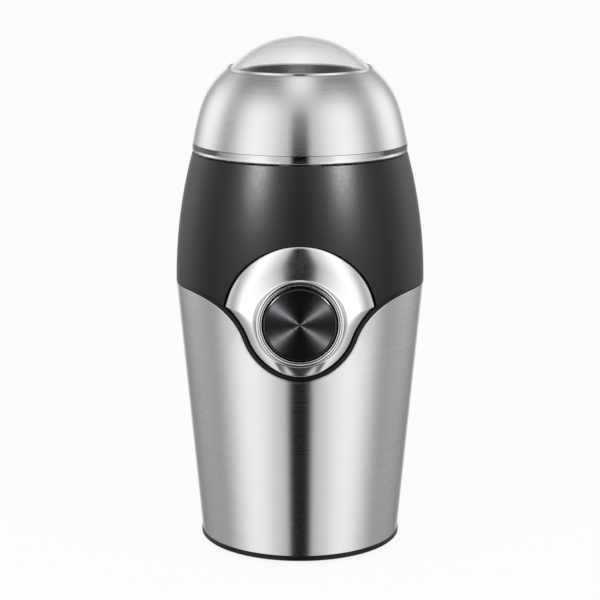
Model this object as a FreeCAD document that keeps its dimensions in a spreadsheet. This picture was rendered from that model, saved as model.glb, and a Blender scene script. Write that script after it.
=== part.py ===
import FreeCAD, Part
import math
import os
import Sketcher
from types import SimpleNamespace

# Electric spice grinder, free-standing, in millimetres.
# Z points up from the plane of the feet, the motor shaft is on the Z axis, and the button faces -Y.
# Every size below is written once; each sub-part is bound to the sheet that holds them.

V = FreeCAD.Vector

doc = FreeCAD.newDocument("spice_grinder")
sheet = doc.addObject("Spreadsheet::Sheet", "sizes")

# Driving sizes

SIZES = [
    # outer form
    ("foot_stand", 1.2, "feet below the base cover"),
    ("base_radius", 40.4, "body radius at the foot of the steel sleeve"),
    ("body_radius", 50.0, "widest radius, at the seam"),
    ("base_plate", 2.2, "thickness of the base cover"),
    ("base_lip", 0.3, "base cover proud of the steel"),
    ("seam_height", 107.85, "seam between steel and black housing"),
    ("housing_height", 160.2, "top edge of the housing"),
    ("housing_top_radius", 42.95, "outer radius of the housing at its top edge"),
    # walls and clearances
    ("housing_wall", 2.2, "wall of the housing"),
    ("sleeve_wall", 0.5, "sheet of the body sleeve"),
    ("sheet_gap", 0.1, "air between a sheet and what backs it"),
    ("fit_gap", 0.05, "clearance of fitted and running pieces"),
    ("lid_gap", 0.3, "clearance round the lid skirt"),
    ("well_gap", 0.5, "air between the bowl and its well"),
    ("air_gap", 0.6, "gap between armature and poles"),
    # seam, trim and bezel
    ("button_drop", 7.75, "button axis below the seam"),
    ("seam_dip_radius", 23.5, "steel edge round the button"),
    ("seam_shoulder_radius", 24.0, "arc from the level seam into the dip"),
    ("trim_width", 1.85, "black trim between steel and housing"),
    ("trim_depth", 1.2, "thickness of the trim"),
    ("bezel_radius", 30.0, "disc of the bezel"),
    ("bezel_depth", 1.8, "thickness of the bezel"),
    ("collar_radius", 17.0, "outside of the bezel collar"),
    ("collar_wall", 1.1, "wall of the bezel collar"),
    ("collar_fillet", 2.6, "hollow round the foot of the collar"),
    ("collar_rise", 2.1, "collar in front of the widest radius"),
    ("collar_depth", 9.1, "length of the collar"),
    # button
    ("ring_wall", 1.15, "wall of the bright ring"),
    ("ring_recess", 0.4, "bright ring behind the edge of the collar"),
    ("cap_gap", 0.4, "gap round the button cap"),
    ("cap_recess", 0.1, "button cap behind the edge of the collar"),
    ("cap_depth", 8.0, "depth of the button cap"),
    ("cap_wall", 1.6, "wall of the button cap"),
    ("face_inset", 1.1, "rim of the cap round the spun face"),
    ("face_sheet", 0.5, "sheet of the spun face"),
    ("face_groove", 3.1, "radius of the groove in the face"),
    ("stem_radius", 3.0, "stem of the button"),
    ("stem_tail", 1.5, "stem behind the guide plate"),
    ("guide_gap", 5.7, "air between the button cap and the guide plate"),
    ("guide_plate", 1.8, "thickness of the guide plate"),
    ("tube_wall", 1.6, "wall of the button tube"),
    ("button_travel", 3.0, "travel of the button"),
    ("button_spring_radius", 5.6, "outside of the button spring"),
    ("spring_wire", 0.8, "wire of the button spring"),
    # top of the housing
    ("rim_wall", 1.95, "wall of the housing at its top edge"),
    ("rim_bevel", 0.5, "bevel on the top edge of the housing"),
    ("recess_width", 2.8, "width of the lid recess"),
    ("recess_depth", 5.2, "depth of the lid recess"),
    ("recess_web", 1.5, "thickness of the recess floor"),
    ("collar_thickness", 2.6, "wall of the collar that carries the bowl"),
    ("collar_drop", 1.7, "bowl collar below the top edge"),
    ("deck_thickness", 2.5, "thickness of the deck below the bowl"),
    ("tab_width", 15.4, "width of the lid tab"),
    ("tab_drop", 0.45, "lid tab below the rim"),
    ("prong_drop", 6.2, "lid prong below its skirt"),
    # lid
    ("lid_height", 45.3, "top of the clear bubble above the housing"),
    ("lid_band_lip", 0.15, "clear band proud of the housing"),
    ("lid_band_height", 3.4, "height of the clear band"),
    ("lid_skirt_wall", 1.8, "wall of the lid skirt"),
    ("lid_steel_inset", 0.05, "foot of the lid steel inside the housing edge"),
    ("lid_steel_low_bow", 98.2, "lower bow of the lid steel"),
    ("lid_steel_high_bow", 31.1, "upper bow of the lid steel"),
    ("lid_shoulder_inset", 3.34, "lid steel drawn in where the two bows meet"),
    ("lid_shoulder_rise", 17.6, "meeting of the two bows above the housing"),
    ("lid_mouth_inset", 14.6, "lid steel drawn in at its mouth"),
    ("lid_mouth_rise", 33.3, "mouth of the lid steel above the housing"),
    ("lid_sheet", 0.5, "sheet of the lid steel"),
    ("lid_wall", 2.0, "wall of the clear lid"),
    ("bubble_sink", 0.48, "foot of the clear bubble below the mouth of the steel"),
    ("bubble_gap", 0.5, "gap between the bubble and the mouth of the steel"),
    # grinding bowl and its seal
    ("bowl_sheet", 0.6, "sheet of the grinding bowl"),
    ("bowl_depth", 41.1, "depth of the grinding bowl"),
    ("bowl_corner", 8.0, "inner corner of the bowl"),
    ("gasket_thickness", 1.9, "thickness of the bowl gasket"),
    ("gasket_bore", 12.0, "bore of the bowl gasket"),
    ("seal_radius", 6.8, "shank of the shaft seal"),
    ("seal_flange", 10.0, "flange of the shaft seal"),
    ("seal_flange_height", 2.0, "height of the seal flange"),
    ("seal_boss_height", 2.4, "height of the boss on the seal"),
    ("seal_tail", 5.5, "shaft seal below the deck"),
    ("bowl_nut_flats", 20.0, "bowl nut across flats"),
    ("bowl_nut_height", 3.5, "height of the bowl nut"),
    # blade
    ("blade_gap", 4.5, "gap between blade and bowl"),
    ("blade_width", 11.0, "width of the blade"),
    ("blade_sheet", 1.5, "sheet of the blade"),
    ("blade_lift", 5.0, "rise of the blade tips"),
    ("hub_height", 1.2, "height of the blade hub"),
    ("hub_gap", 0.4, "air below the blade hub"),
    ("blade_nut_height", 6.0, "height of the blade nut"),
    # motor, which hangs from the deck
    ("mount_boss", 8.0, "bosses below the deck for the motor"),
    ("mount_height", 5.0, "rubber between boss and bracket"),
    ("mount_x", 26.0, "motor mounts in X"),
    ("mount_y", 8.0, "motor mounts in Y"),
    ("mount_radius", 3.9, "rubber of the motor mounts"),
    ("bracket_plate", 3.0, "plate of the brackets"),
    ("upper_gap", 14.0, "stator below the upper bracket"),
    ("lower_gap", 24.0, "lower bracket below the stator"),
    ("bearing_radius", 7.5, "outside of the bearings"),
    ("bearing_height", 6.0, "height of the bearings"),
    ("cup_wall", 2.0, "wall of the bearing cups"),
    ("stator_height", 26.0, "stack of the stator"),
    ("stator_radius", 27.0, "outside of the stator"),
    ("stator_half_width", 23.0, "flats of the stator"),
    ("stator_yoke", 4.5, "ring of the stator"),
    ("stator_bore", 15.2, "bore between the poles"),
    ("pole_shoe", 3.0, "thickness of the pole shoes"),
    ("pole_neck", 16.0, "width of the pole necks"),
    ("coil_overhang", 5.0, "coil beyond the stator"),
    ("armature_slots", 12, "slots in the armature"),
    ("shaft_radius", 3.0, "motor shaft"),
    ("shaft_tail", 2.0, "shaft below the fan"),
    ("commutator_radius", 10.0, "commutator"),
    ("commutator_rise", 9.5, "commutator above the lower bracket"),
    ("commutator_height", 9.0, "height of the commutator"),
    ("post_inset", 2.3, "motor screws inside the edge of the stator"),
    ("post_radius", 3.2, "posts between bracket and stator"),
    ("motor_screw", 1.7, "shank of the motor screws"),
    ("fan_radius", 24.0, "cooling fan"),
    ("fan_gap", 4.0, "fan below the lower bracket"),
    ("fan_height", 10.0, "height of the fan"),
    # base
    ("upstand_height", 5.0, "wall on the base cover"),
    ("upstand_wall", 1.7, "wall thickness on the base cover"),
    ("screw_inset", 5.4, "base screws inside the housing wall"),
    ("screw_radius", 1.4, "shank of the base screws"),
    ("screw_head", 2.9, "head of the base screws"),
    ("boss_radius", 3.2, "bosses for screws"),
    ("foot_inset", 11.4, "feet inside the edge of the base"),
    ("foot_radius", 5.0, "radius of the feet"),
    ("foot_recess", 1.0, "recess for the feet"),
    ("vent_slots", 18, "vent slots in the base cover"),
    ("vent_width", 2.6, "width of a vent slot"),
    ("vent_inner", 11.0, "inner end of the vent slots"),
    ("vent_outer", 21.0, "outer end of the vent slots"),
    # cord inlet and capacitor
    ("inlet_height", 14.0, "cord inlet above the feet"),
    ("inlet_bore", 3.3, "bore of the cord inlet"),
    ("inlet_neck", 4.6, "neck of the cord inlet"),
    ("inlet_flange", 6.6, "flange of the cord inlet"),
    ("capacitor_half", 9.0, "half the width of the capacitor"),
    ("capacitor_depth", 6.0, "depth of the capacitor"),
    ("capacitor_height", 14.0, "height of the capacitor"),
    # switches and interlock
    ("switch_gap", 4.0, "main switch behind the stem"),
    ("switch_depth", 6.0, "depth of the main switch"),
    ("switch_half", 10.0, "half the width of the main switch"),
    ("rod_gap", 2.7, "axis of the interlock rod outside the well"),
    ("rod_radius", 1.75, "interlock rod"),
    ("rod_length", 17.95, "length of the interlock rod"),
    ("rod_collar", 2.4, "collar on the interlock rod"),
    ("interlock_travel", 3.0, "travel of the interlock rod"),
    ("microswitch_height", 10.4, "height of the interlock switch"),
    ("microswitch_half", 7.0, "half the width of the interlock switch"),
    ("microswitch_depth", 6.0, "depth of the interlock switch"),
]

for row, (name, value, words) in enumerate(SIZES, start=2):
    sheet.set("A%d" % row, words)
    sheet.set("B%d" % row, str(value))
    sheet.setAlias("B%d" % row, name)
doc.recompute()


class Size:
    """A number that keeps the formula it came from, so that a feature can be bound to it."""

    def __init__(self, value, text):
        self.value = float(value)
        self.text = text

    def __add__(self, other):
        return Size(self.value + number(other), "(%s + %s)" % (self.text, text(other)))

    def __radd__(self, other):
        return Size(number(other) + self.value, "(%s + %s)" % (text(other), self.text))

    def __sub__(self, other):
        return Size(self.value - number(other), "(%s - %s)" % (self.text, text(other)))

    def __rsub__(self, other):
        return Size(number(other) - self.value, "(%s - %s)" % (text(other), self.text))

    def __mul__(self, other):
        return Size(self.value * number(other), "(%s * %s)" % (self.text, text(other)))

    def __rmul__(self, other):
        return Size(number(other) * self.value, "(%s * %s)" % (text(other), self.text))

    def __truediv__(self, other):
        return Size(self.value / number(other), "(%s / %s)" % (self.text, text(other)))

    def __neg__(self):
        return Size(-self.value, "(0 - %s)" % self.text)


def number(value):
    return value.value if isinstance(value, Size) else float(value)


def text(value):
    return value.text if isinstance(value, Size) else "%.9g" % value


def root(value):
    return Size(math.sqrt(number(value)), "sqrt(%s)" % text(value))


s = SimpleNamespace(**{name: Size(value, "sizes." + name) for name, value, words in SIZES})

# Sizes that follow from the driving ones

s.button_height = s.seam_height - s.button_drop
s.collar_bore = s.collar_radius - s.collar_wall
s.collar_front = s.body_radius + s.collar_rise
s.collar_back = s.collar_front - s.collar_depth
s.ring_bore = s.collar_bore - s.fit_gap - s.ring_wall
s.ring_front = s.collar_front - s.ring_recess
s.cap_radius = s.ring_bore - s.cap_gap
s.cap_front = s.collar_front - s.cap_recess
s.face_radius = s.cap_radius - s.face_inset
s.guide_front = s.cap_front - s.cap_depth - s.guide_gap
s.stem_back = s.guide_front - s.guide_plate - s.stem_tail
s.recess_outer = s.housing_top_radius - s.rim_wall
s.collar_outer = s.recess_outer - s.recess_width
s.well_radius = s.collar_outer - s.collar_thickness
s.recess_floor = s.housing_height - s.recess_depth
s.bowl_collar_height = s.housing_height - s.collar_drop
s.bowl_radius = s.well_radius - s.well_gap - s.bowl_sheet
s.bowl_floor = s.bowl_collar_height + s.bowl_sheet - s.bowl_depth
s.deck_height = s.bowl_floor - s.bowl_sheet - s.gasket_thickness
s.gasket_radius = s.bowl_radius - s.bowl_corner - 0.5
s.lid_band_radius = s.housing_top_radius + s.lid_band_lip
s.lid_steel_radius = s.housing_top_radius - s.lid_steel_inset
s.lid_shoulder_radius = s.lid_steel_radius - s.lid_shoulder_inset
s.lid_shoulder_height = s.housing_height + s.lid_shoulder_rise
s.lid_mouth_radius = s.lid_steel_radius - s.lid_mouth_inset
s.lid_mouth_height = s.housing_height + s.lid_mouth_rise
s.bubble_foot = s.lid_mouth_radius - s.bubble_gap
s.total_height = s.housing_height + s.lid_height
s.bubble_rise = s.total_height - s.lid_mouth_height + s.bubble_sink
s.bubble_radius = (s.bubble_foot * s.bubble_foot + s.bubble_rise * s.bubble_rise) / (2 * s.bubble_rise)
s.deck_foot = s.deck_height - s.deck_thickness
s.mount_top = s.deck_foot - s.mount_boss
s.upper_plate_foot = s.mount_top - s.mount_height - s.bracket_plate
s.stator_foot = s.upper_plate_foot - s.upper_gap - s.stator_height
s.armature_radius = s.stator_bore - s.air_gap
s.lower_plate_foot = s.stator_foot - s.lower_gap - s.bracket_plate
s.commutator_foot = s.lower_plate_foot + s.bracket_plate + s.commutator_rise
s.fan_foot = s.lower_plate_foot - s.fan_gap - s.fan_height
s.shaft_foot = s.fan_foot - s.shaft_tail
s.post_circle = s.stator_radius - s.post_inset
s.seal_foot = s.deck_foot - s.seal_tail
s.blade_radius = s.bowl_radius - s.blade_gap
s.blade_foot = (
    s.bowl_floor + s.seal_flange_height + s.seal_boss_height + s.hub_gap + s.hub_height
)
s.tube_radius = s.collar_radius + s.fit_gap + s.tube_wall
s.rod_offset = s.well_radius + s.housing_wall + s.rod_gap
s.rod_top = s.recess_floor + s.lid_gap - s.prong_drop - s.fit_gap
s.rod_foot = s.rod_top - s.rod_length
s.microswitch_foot = s.rod_foot - 1.5 - s.microswitch_height
s.foot_circle = s.base_radius - s.foot_inset
s.capacitor_foot = s.inlet_height + s.inlet_flange + 1.5
s.capacitor_top = s.capacitor_foot + s.capacitor_height
s.switch_front = s.stem_back - s.switch_gap

# Helpers that draw and bind


def bind(thing, prop, value):
    if isinstance(value, Size):
        thing.setExpression(prop, value.text)
    elif not prop.startswith("Placement") and not prop.startswith("AttachmentOffset"):
        setattr(thing, prop, value)


def place(thing, x=0, y=0, z=0, rotation=None):
    rotation = rotation or FreeCAD.Rotation()
    thing.Placement = FreeCAD.Placement(V(number(x), number(y), number(z)), rotation)
    for axis, value in (("x", x), ("y", y), ("z", z)):
        bind(thing, "Placement.Base." + axis, value)
    return thing


TO_FRONT = FreeCAD.Rotation(V(1, 0, 0), 90)
TO_RIGHT = FreeCAD.Rotation(V(0, 1, 0), 90)


def new_body(label):
    body = doc.addObject("PartDesign::Body", label)
    body.Label = label
    return body


def roles(body):
    return {feature.Role: feature for feature in body.Origin.OriginFeatures}


def sketch_on(body, plane, lift=0):
    sketch = body.newObject("Sketcher::SketchObject", body.Name + "_sketch")
    sketch.AttachmentSupport = [(roles(body)[plane], "")]
    sketch.MapMode = "FlatFace"
    if isinstance(lift, Size) or lift:
        sketch.AttachmentOffset = FreeCAD.Placement(V(0, 0, number(lift)), FreeCAD.Rotation())
        bind(sketch, "AttachmentOffset.Base.z", lift)
    return sketch


def bowed_edge(a, b, bow):
    """An arc from a to b; a positive bow bulges to the right of the way from a to b."""
    radius = abs(number(bow))
    half = (b - a) * 0.5
    reach = math.sqrt(max(radius ** 2 - half.Length ** 2, 0.0))
    left = V(-half.y, half.x, 0).normalize()
    middle = a + half + left * (reach if number(bow) > 0 else -reach)
    start, end = (a, b) if number(bow) > 0 else (b, a)
    first = math.atan2(start.y - middle.y, start.x - middle.x)
    last = math.atan2(end.y - middle.y, end.x - middle.x)
    if last < first:
        last += 2 * math.pi
    return Part.ArcOfCircle(Part.Circle(middle, V(0, 0, 1), radius), first, last)


def bound_constraint(sketch, kind, where, value):
    if kind != "Radius" and not isinstance(value, Size) and value == 0:
        axis = -2 if kind == "DistanceX" else -1
        sketch.addConstraint(Sketcher.Constraint("PointOnObject", where[0], where[1], axis))
        return
    if kind == "Radius":
        index = sketch.addConstraint(Sketcher.Constraint("Radius", where, number(value)))
    else:
        index = sketch.addConstraint(Sketcher.Constraint(kind, -1, 1, where[0], where[1], number(value)))
    if isinstance(value, Size):
        sketch.setExpression("Constraints[%d]" % index, value.text)


def outline(sketch, corners):
    """A closed outline through corners (x, y) or (x, y, bow of the edge to the next corner)."""
    first = sketch.GeometryCount
    ends = []
    points = [V(number(corner[0]), number(corner[1]), 0) for corner in corners]
    for i, corner in enumerate(corners):
        a, b = points[i], points[(i + 1) % len(points)]
        if len(corner) == 3:
            sketch.addGeometry(bowed_edge(a, b, corner[2]), False)
            ends.append((1, 2) if number(corner[2]) > 0 else (2, 1))
        else:
            sketch.addGeometry(Part.LineSegment(a, b), False)
            ends.append((1, 2))
    for i, corner in enumerate(corners):
        following = (i + 1) % len(corners)
        sketch.addConstraint(
            Sketcher.Constraint("Coincident", first + i, ends[i][1], first + following, ends[following][0])
        )
        bound_constraint(sketch, "DistanceX", (first + i, ends[i][0]), corner[0])
        bound_constraint(sketch, "DistanceY", (first + i, ends[i][0]), corner[1])
        if len(corner) == 3:
            bow = corner[2] if number(corner[2]) > 0 else -1 * corner[2]
            bound_constraint(sketch, "Radius", first + i, bow)


def circle(sketch, radius, x=0, y=0):
    index = sketch.addGeometry(Part.Circle(V(number(x), number(y), 0), V(0, 0, 1), number(radius)), False)
    bound_constraint(sketch, "DistanceX", (index, 3), x)
    bound_constraint(sketch, "DistanceY", (index, 3), y)
    bound_constraint(sketch, "Radius", index, radius)


def revolve(body, corners):
    sketch = sketch_on(body, "XZ_Plane")
    outline(sketch, corners)
    feature = body.newObject("PartDesign::Revolution", body.Name + "_revolution")
    feature.Profile = sketch
    feature.ReferenceAxis = (roles(body)["Z_Axis"], [""])
    feature.Angle = 360
    return feature


def revolved(label, corners):
    body = new_body(label)
    revolve(body, corners)
    return body


def pad(body, sketch, length, backwards=False, kind="PartDesign::Pad"):
    feature = body.newObject(kind, body.Name + "_" + kind[12:].lower())
    feature.Profile = sketch
    feature.Reversed = backwards
    feature.Length = number(length)
    bind(feature, "Length", length)
    return feature


def pocket(body, sketch, length, backwards=False):
    return pad(body, sketch, length, backwards, "PartDesign::Pocket")


def polar(body, feature, count):
    pattern = body.newObject("PartDesign::PolarPattern", body.Name + "_pattern")
    pattern.Originals = [feature]
    pattern.Axis = (roles(body)["Z_Axis"], [""])
    pattern.Angle = 360
    pattern.Occurrences = int(number(count))
    bind(pattern, "Occurrences", count)
    body.Tip = pattern
    return pattern


def box(x0, x1, y0, y1, z0, z1, label="block"):
    block = doc.addObject("Part::Box", label)
    for prop, low, high in (("Length", x0, x1), ("Width", y0, y1), ("Height", z0, z1)):
        bind(block, prop, high - low)
    return place(block, x0, y0, z0)


def rod(radius, length, x=0, y=0, z=0, rotation=None, label="rod"):
    cylinder = doc.addObject("Part::Cylinder", label)
    bind(cylinder, "Radius", radius)
    bind(cylinder, "Height", length)
    return place(cylinder, x, y, z, rotation)


def union(label, shapes):
    result = doc.addObject("Part::MultiFuse", label)
    result.Shapes = shapes
    result.Label = label
    return result


def overlap(label, shapes):
    result = doc.addObject("Part::MultiCommon", label)
    result.Shapes = shapes
    result.Label = label
    return result


def minus(label, base, tools):
    result = doc.addObject("Part::Cut", label)
    result.Base = base
    result.Tool = tools[0] if len(tools) == 1 else union(label + "_tools", tools)
    result.Label = label
    return result


# The outer form: a cone below the seam and one bow above it

cone_slope = (s.body_radius - s.base_radius) / (s.seam_height - s.foot_stand - s.base_plate)
bow_rise = s.housing_height - s.seam_height
bow_draw = s.body_radius - s.housing_top_radius
housing_bow = (bow_rise * bow_rise + bow_draw * bow_draw) / (2 * bow_draw)
cover_top = s.foot_stand + s.base_plate


def cone_radius(height):
    return s.base_radius + cone_slope * (height - cover_top)


def bow_radius(height):
    rise = height - s.seam_height
    return s.body_radius - housing_bow + root(housing_bow * housing_bow - rise * rise)


def skin(label, low, high, outer, inner):
    """A shell that follows the outer form, from outer to inner below its surface."""
    corners = [(cone_radius(low) - outer, low)]
    if number(high) > number(s.seam_height) + 0.001:
        corners.append((s.body_radius - outer, s.seam_height, housing_bow))
        corners.append((bow_radius(high) - outer, high))
        corners.append((bow_radius(high) - inner, high, -housing_bow))
    else:
        corners.append((s.body_radius - outer, s.seam_height))
    corners.append((s.body_radius - inner, s.seam_height))
    corners.append((cone_radius(low) - inner, low))
    return revolved(label, corners)


def above_seam(label, offset):
    """Everything above the seam line, moved up by an offset that stays the same all along it."""
    dip = s.seam_dip_radius - offset
    shoulder = s.seam_shoulder_radius + offset
    level = s.seam_height + offset
    rise = s.button_height - level + shoulder
    reach = dip + shoulder
    flank = root(reach * reach - rise * rise)
    meet_x = flank * dip / reach
    meet_z = s.button_height - rise * dip / reach
    edge = s.body_radius * 1.2
    top = s.seam_height + s.bezel_radius
    body = new_body(label)
    front = sketch_on(body, "XZ_Plane")
    corners = [
        (-edge, level),
        (-flank, level, -shoulder),
        (-meet_x, meet_z, dip),
        (meet_x, meet_z, -shoulder),
        (flank, level),
        (edge, level),
        (edge, top),
        (-edge, top),
    ]
    outline(front, corners)
    pad(body, front, edge)
    back = sketch_on(body, "XZ_Plane")
    outline(back, [(-edge, level), (edge, level), (edge, top), (-edge, top)])
    pad(body, back, edge, backwards=True)
    return body


dip_low = s.button_height - s.seam_dip_radius

# Housing: one black moulding with the outer wall, lid recess, bowl well, deck and button tube

housing_inside = cone_radius(cover_top) - s.housing_wall
web_foot = s.recess_floor - s.recess_web
well_outside = s.well_radius + s.housing_wall
seal_hole = s.seal_radius + s.fit_gap

housing_form = revolved("housing_form", [
    (cone_radius(cover_top), cover_top),
    (s.body_radius, s.seam_height, housing_bow),
    (bow_radius(s.housing_height - s.rim_bevel), s.housing_height - s.rim_bevel),
    (s.housing_top_radius - s.rim_bevel, s.housing_height),
    (s.recess_outer + s.rim_bevel / 2, s.housing_height),
    (s.recess_outer, s.housing_height - s.rim_bevel / 2),
    (s.recess_outer, s.recess_floor),
    (s.collar_outer, s.recess_floor),
    (s.collar_outer, s.bowl_collar_height),
    (s.well_radius, s.bowl_collar_height),
    (s.well_radius, s.deck_height),
    (seal_hole, s.deck_height),
    (seal_hole, s.deck_foot),
    (well_outside, s.deck_foot),
    (well_outside, web_foot),
    (bow_radius(web_foot) - s.housing_wall, web_foot, -housing_bow),
    (s.body_radius - s.housing_wall, s.seam_height),
    (housing_inside, cover_top),
])

# Seats in the outer wall: the sleeve below the seam, the trim on it and the bezel in front
sleeve_seat = minus("sleeve_seat", skin(
    "sleeve_seat_skin", cover_top - 1, s.seam_height, -2, s.sleeve_wall + s.sheet_gap
), [above_seam("above_sleeve_seat", 0)])
trim_seat = minus("trim_seat", overlap("trim_seat_low", [
    skin("trim_seat_skin", dip_low - 1, s.seam_height + s.trim_width, -2, s.trim_depth + s.fit_gap),
    above_seam("above_trim_foot", 0),
]), [above_seam("above_trim_seat", s.trim_width)])

front_reach = s.body_radius + 10
bezel_low = dip_low + s.trim_width
bezel_high = s.button_height + s.bezel_radius


def bezel_skin(label, outer, inner):
    """The bezel carries the bow of the housing on across the seam, so its face has no crease."""
    low = cone_radius(bezel_low)
    high = bow_radius(bezel_high + 1)
    top = bezel_high + 1
    return revolved(label, [
        (low - outer, bezel_low, housing_bow),
        (high - outer, top),
        (high - inner, top, -housing_bow),
        (low - inner, bezel_low),
    ])


bezel_seat = overlap("bezel_seat", [
    bezel_skin("bezel_seat_skin", -3, s.bezel_depth + s.fit_gap),
    rod(s.bezel_radius + s.fit_gap, front_reach, 0, 0, s.button_height, TO_FRONT, "bezel_seat_disc"),
    above_seam("above_bezel_seat", s.trim_width),
])

# Button tube with its guide plate, carried by the outer wall
tube_back = s.guide_front - s.guide_plate
button_tube = overlap("button_tube", [
    rod(s.tube_radius, s.body_radius - tube_back, 0, -tube_back, s.button_height, TO_FRONT, "tube_rod"),
    skin("tube_skin", s.button_height - 30, s.button_height + 30, s.bezel_depth + s.fit_gap, 30),
])
button_hole = rod(
    s.collar_radius + s.fit_gap, s.body_radius, 0, -s.guide_front, s.button_height, TO_FRONT, "button_hole"
)
stem_hole = rod(
    s.stem_radius + 1.6 * s.fit_gap, s.body_radius, 0, -tube_back + 1, s.button_height, TO_FRONT, "stem_hole"
)

# Bosses for the base screws, joined to the wall by a rib above the upstand of the base cover
screw_angles = (-90, 30, 150)
screw_circle = housing_inside - s.screw_inset
boss_height = 20
bosses = []
boss_holes = []
rib_foot = cover_top + s.upstand_height + 0.5
for angle in screw_angles:
    turn = FreeCAD.Rotation(V(0, 0, 1), angle)
    x = screw_circle * math.cos(math.radians(angle))
    y = screw_circle * math.sin(math.radians(angle))
    bosses.append(rod(s.boss_radius, boss_height, x, y, cover_top, None, "screw_boss"))
    plate = box(0, s.body_radius - screw_circle, 0, 2, 0, boss_height - 6, "rib_plate")
    shift = turn.multVec(V(0, -1, 0))
    place(plate, x + shift.x, y + shift.y, rib_foot, turn)
    bosses.append(overlap("screw_rib", [
        plate, skin("rib_skin", cover_top, s.seam_height, s.sleeve_wall + s.sheet_gap + 0.5, 20),
    ]))
    boss_holes.append(rod(s.screw_radius + s.fit_gap, 14, x, y, cover_top - 1, None, "screw_hole"))

# Bosses below the deck for the rubber mounts of the motor
mounts = [(sx * s.mount_x, sy * s.mount_y) for sx in (-1, 1) for sy in (-1, 1)]
for x, y in mounts:
    bosses.append(rod(s.boss_radius, s.deck_foot - s.mount_top + 1, x, y, s.mount_top, None, "mount_boss"))
    boss_holes.append(rod(s.screw_radius + s.fit_gap, 9, x, y, s.mount_top - 1, None, "mount_hole"))

# Ribs that hold the main switch, and the guides of the interlock rod
switch_foot = s.button_height - 5
for side in (-1, 1):
    inner = s.switch_half + s.fit_gap
    outer = inner + 1.8
    low, high = (inner, outer) if side > 0 else (-outer, -inner)
    bosses.append(box(
        low, high, -s.switch_front, -s.switch_front + s.switch_depth,
        switch_foot, s.deck_foot + 1, "switch_rib",
    ))
guide_spans = (
    (s.rod_foot + 1.4, s.rod_foot + 3.9),
    (s.rod_top - s.interlock_travel - 2.05, s.rod_top - 2.05),
)
collar_foot = guide_spans[1][0] - s.interlock_travel - 1.5
for low, high in guide_spans:
    bosses.append(overlap("rod_guide", [
        box(-4, 4, -s.rod_offset - 3.4, -s.well_radius - 1, low, high, "guide_block"),
        skin("guide_skin", s.seam_height - 1, s.recess_floor, 1, s.body_radius - s.well_radius + 2),
    ]))
boss_holes.append(rod(
    s.rod_radius + s.fit_gap, s.rod_length, 0, -s.rod_offset, s.rod_foot, None, "guide_hole"
))
# Pegs that carry the interlock switch on the wall of the well
peg_height = s.microswitch_foot + s.microswitch_height / 2
peg_radius = 1.1
peg_places = (-4.5, 4.5)
for x in peg_places:
    bosses.append(rod(peg_radius, 7.5, x, -s.well_radius - 1, peg_height, TO_FRONT, "switch_peg"))

# Pocket for the capacitor on the rear wall: two side ribs and a ledge
capacitor_reach = cone_radius(s.capacitor_foot) - s.housing_wall - 0.2
capacitor_back = root(capacitor_reach * capacitor_reach - s.capacitor_half * s.capacitor_half)
rib_inner = s.capacitor_half + s.fit_gap
rib_outer = rib_inner + 1.5
rib_front = capacitor_back - s.capacitor_depth
pocket_ribs = union("pocket_ribs", [
    box(rib_inner, rib_outer, rib_front, s.body_radius, s.capacitor_foot, s.capacitor_top, "pocket_rib"),
    box(-rib_outer, -rib_inner, rib_front, s.body_radius, s.capacitor_foot, s.capacitor_top, "pocket_rib"),
    box(
        -rib_outer, rib_outer, rib_front + 2, s.body_radius,
        s.capacitor_foot - 1.3, s.capacitor_foot, "pocket_ledge",
    ),
])
bosses.append(overlap("capacitor_pocket", [
    pocket_ribs,
    skin("pocket_skin", cover_top, s.seam_height - 1, s.housing_wall - 0.2, 16),
]))

# Slot for the prong and notch for the tab of the lid, and the cord inlet through the rear wall
tab_half = s.tab_width / 2
slot_half = tab_half + s.lid_gap
skirt_outer = s.recess_outer - s.lid_gap
skirt_inner = skirt_outer - s.lid_skirt_wall
prong_slot = overlap("prong_slot", [
    box(-slot_half, slot_half, -s.body_radius, 0, web_foot - 1, s.recess_floor + 1, "slot_block"),
    revolved("slot_ring", [
        (s.collar_outer, web_foot - 1),
        (s.recess_outer, web_foot - 1),
        (s.recess_outer, s.recess_floor + 1),
        (s.collar_outer, s.recess_floor + 1),
    ]),
])
tab_notch = box(
    -slot_half, slot_half, -s.body_radius, -s.recess_outer + 1,
    s.housing_height - s.tab_drop - s.lid_gap / 2, s.housing_height + 1, "tab_notch"
)
inlet_hole = rod(
    s.inlet_neck + s.fit_gap, 20, 0, s.base_radius + 8, s.inlet_height, TO_FRONT, "inlet_hole"
)

housing_cuts = [sleeve_seat, trim_seat, bezel_seat, button_hole, stem_hole]
housing_cuts += [prong_slot, tab_notch, inlet_hole] + boss_holes
housing = minus("housing", union("housing_solid", [housing_form, button_tube] + bosses), housing_cuts)

# Body sleeve: one brushed sheet with the seam dip cut out of its top edge
sleeve_form = revolved("sleeve_form", [
    (cone_radius(cover_top), cover_top),
    (s.body_radius, s.seam_height),
    (s.body_radius - s.sleeve_wall, s.seam_height),
    (cone_radius(cover_top) - s.sleeve_wall, cover_top),
])
body_sleeve = minus("body_sleeve", sleeve_form, [
    above_seam("above_sleeve", 0),
    rod(s.inlet_neck + s.fit_gap, 20, 0, s.base_radius + 8, s.inlet_height, TO_FRONT, "sleeve_inlet"),
])

# Seam trim: a closed black strip that follows the seam all round
seam_trim = minus("seam_trim", overlap("trim_band", [
    skin("trim_skin", dip_low - 1, s.seam_height + s.trim_width, 0, s.trim_depth),
    above_seam("above_trim_edge", s.fit_gap),
]), [above_seam("above_trim", s.trim_width - s.fit_gap)])

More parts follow.
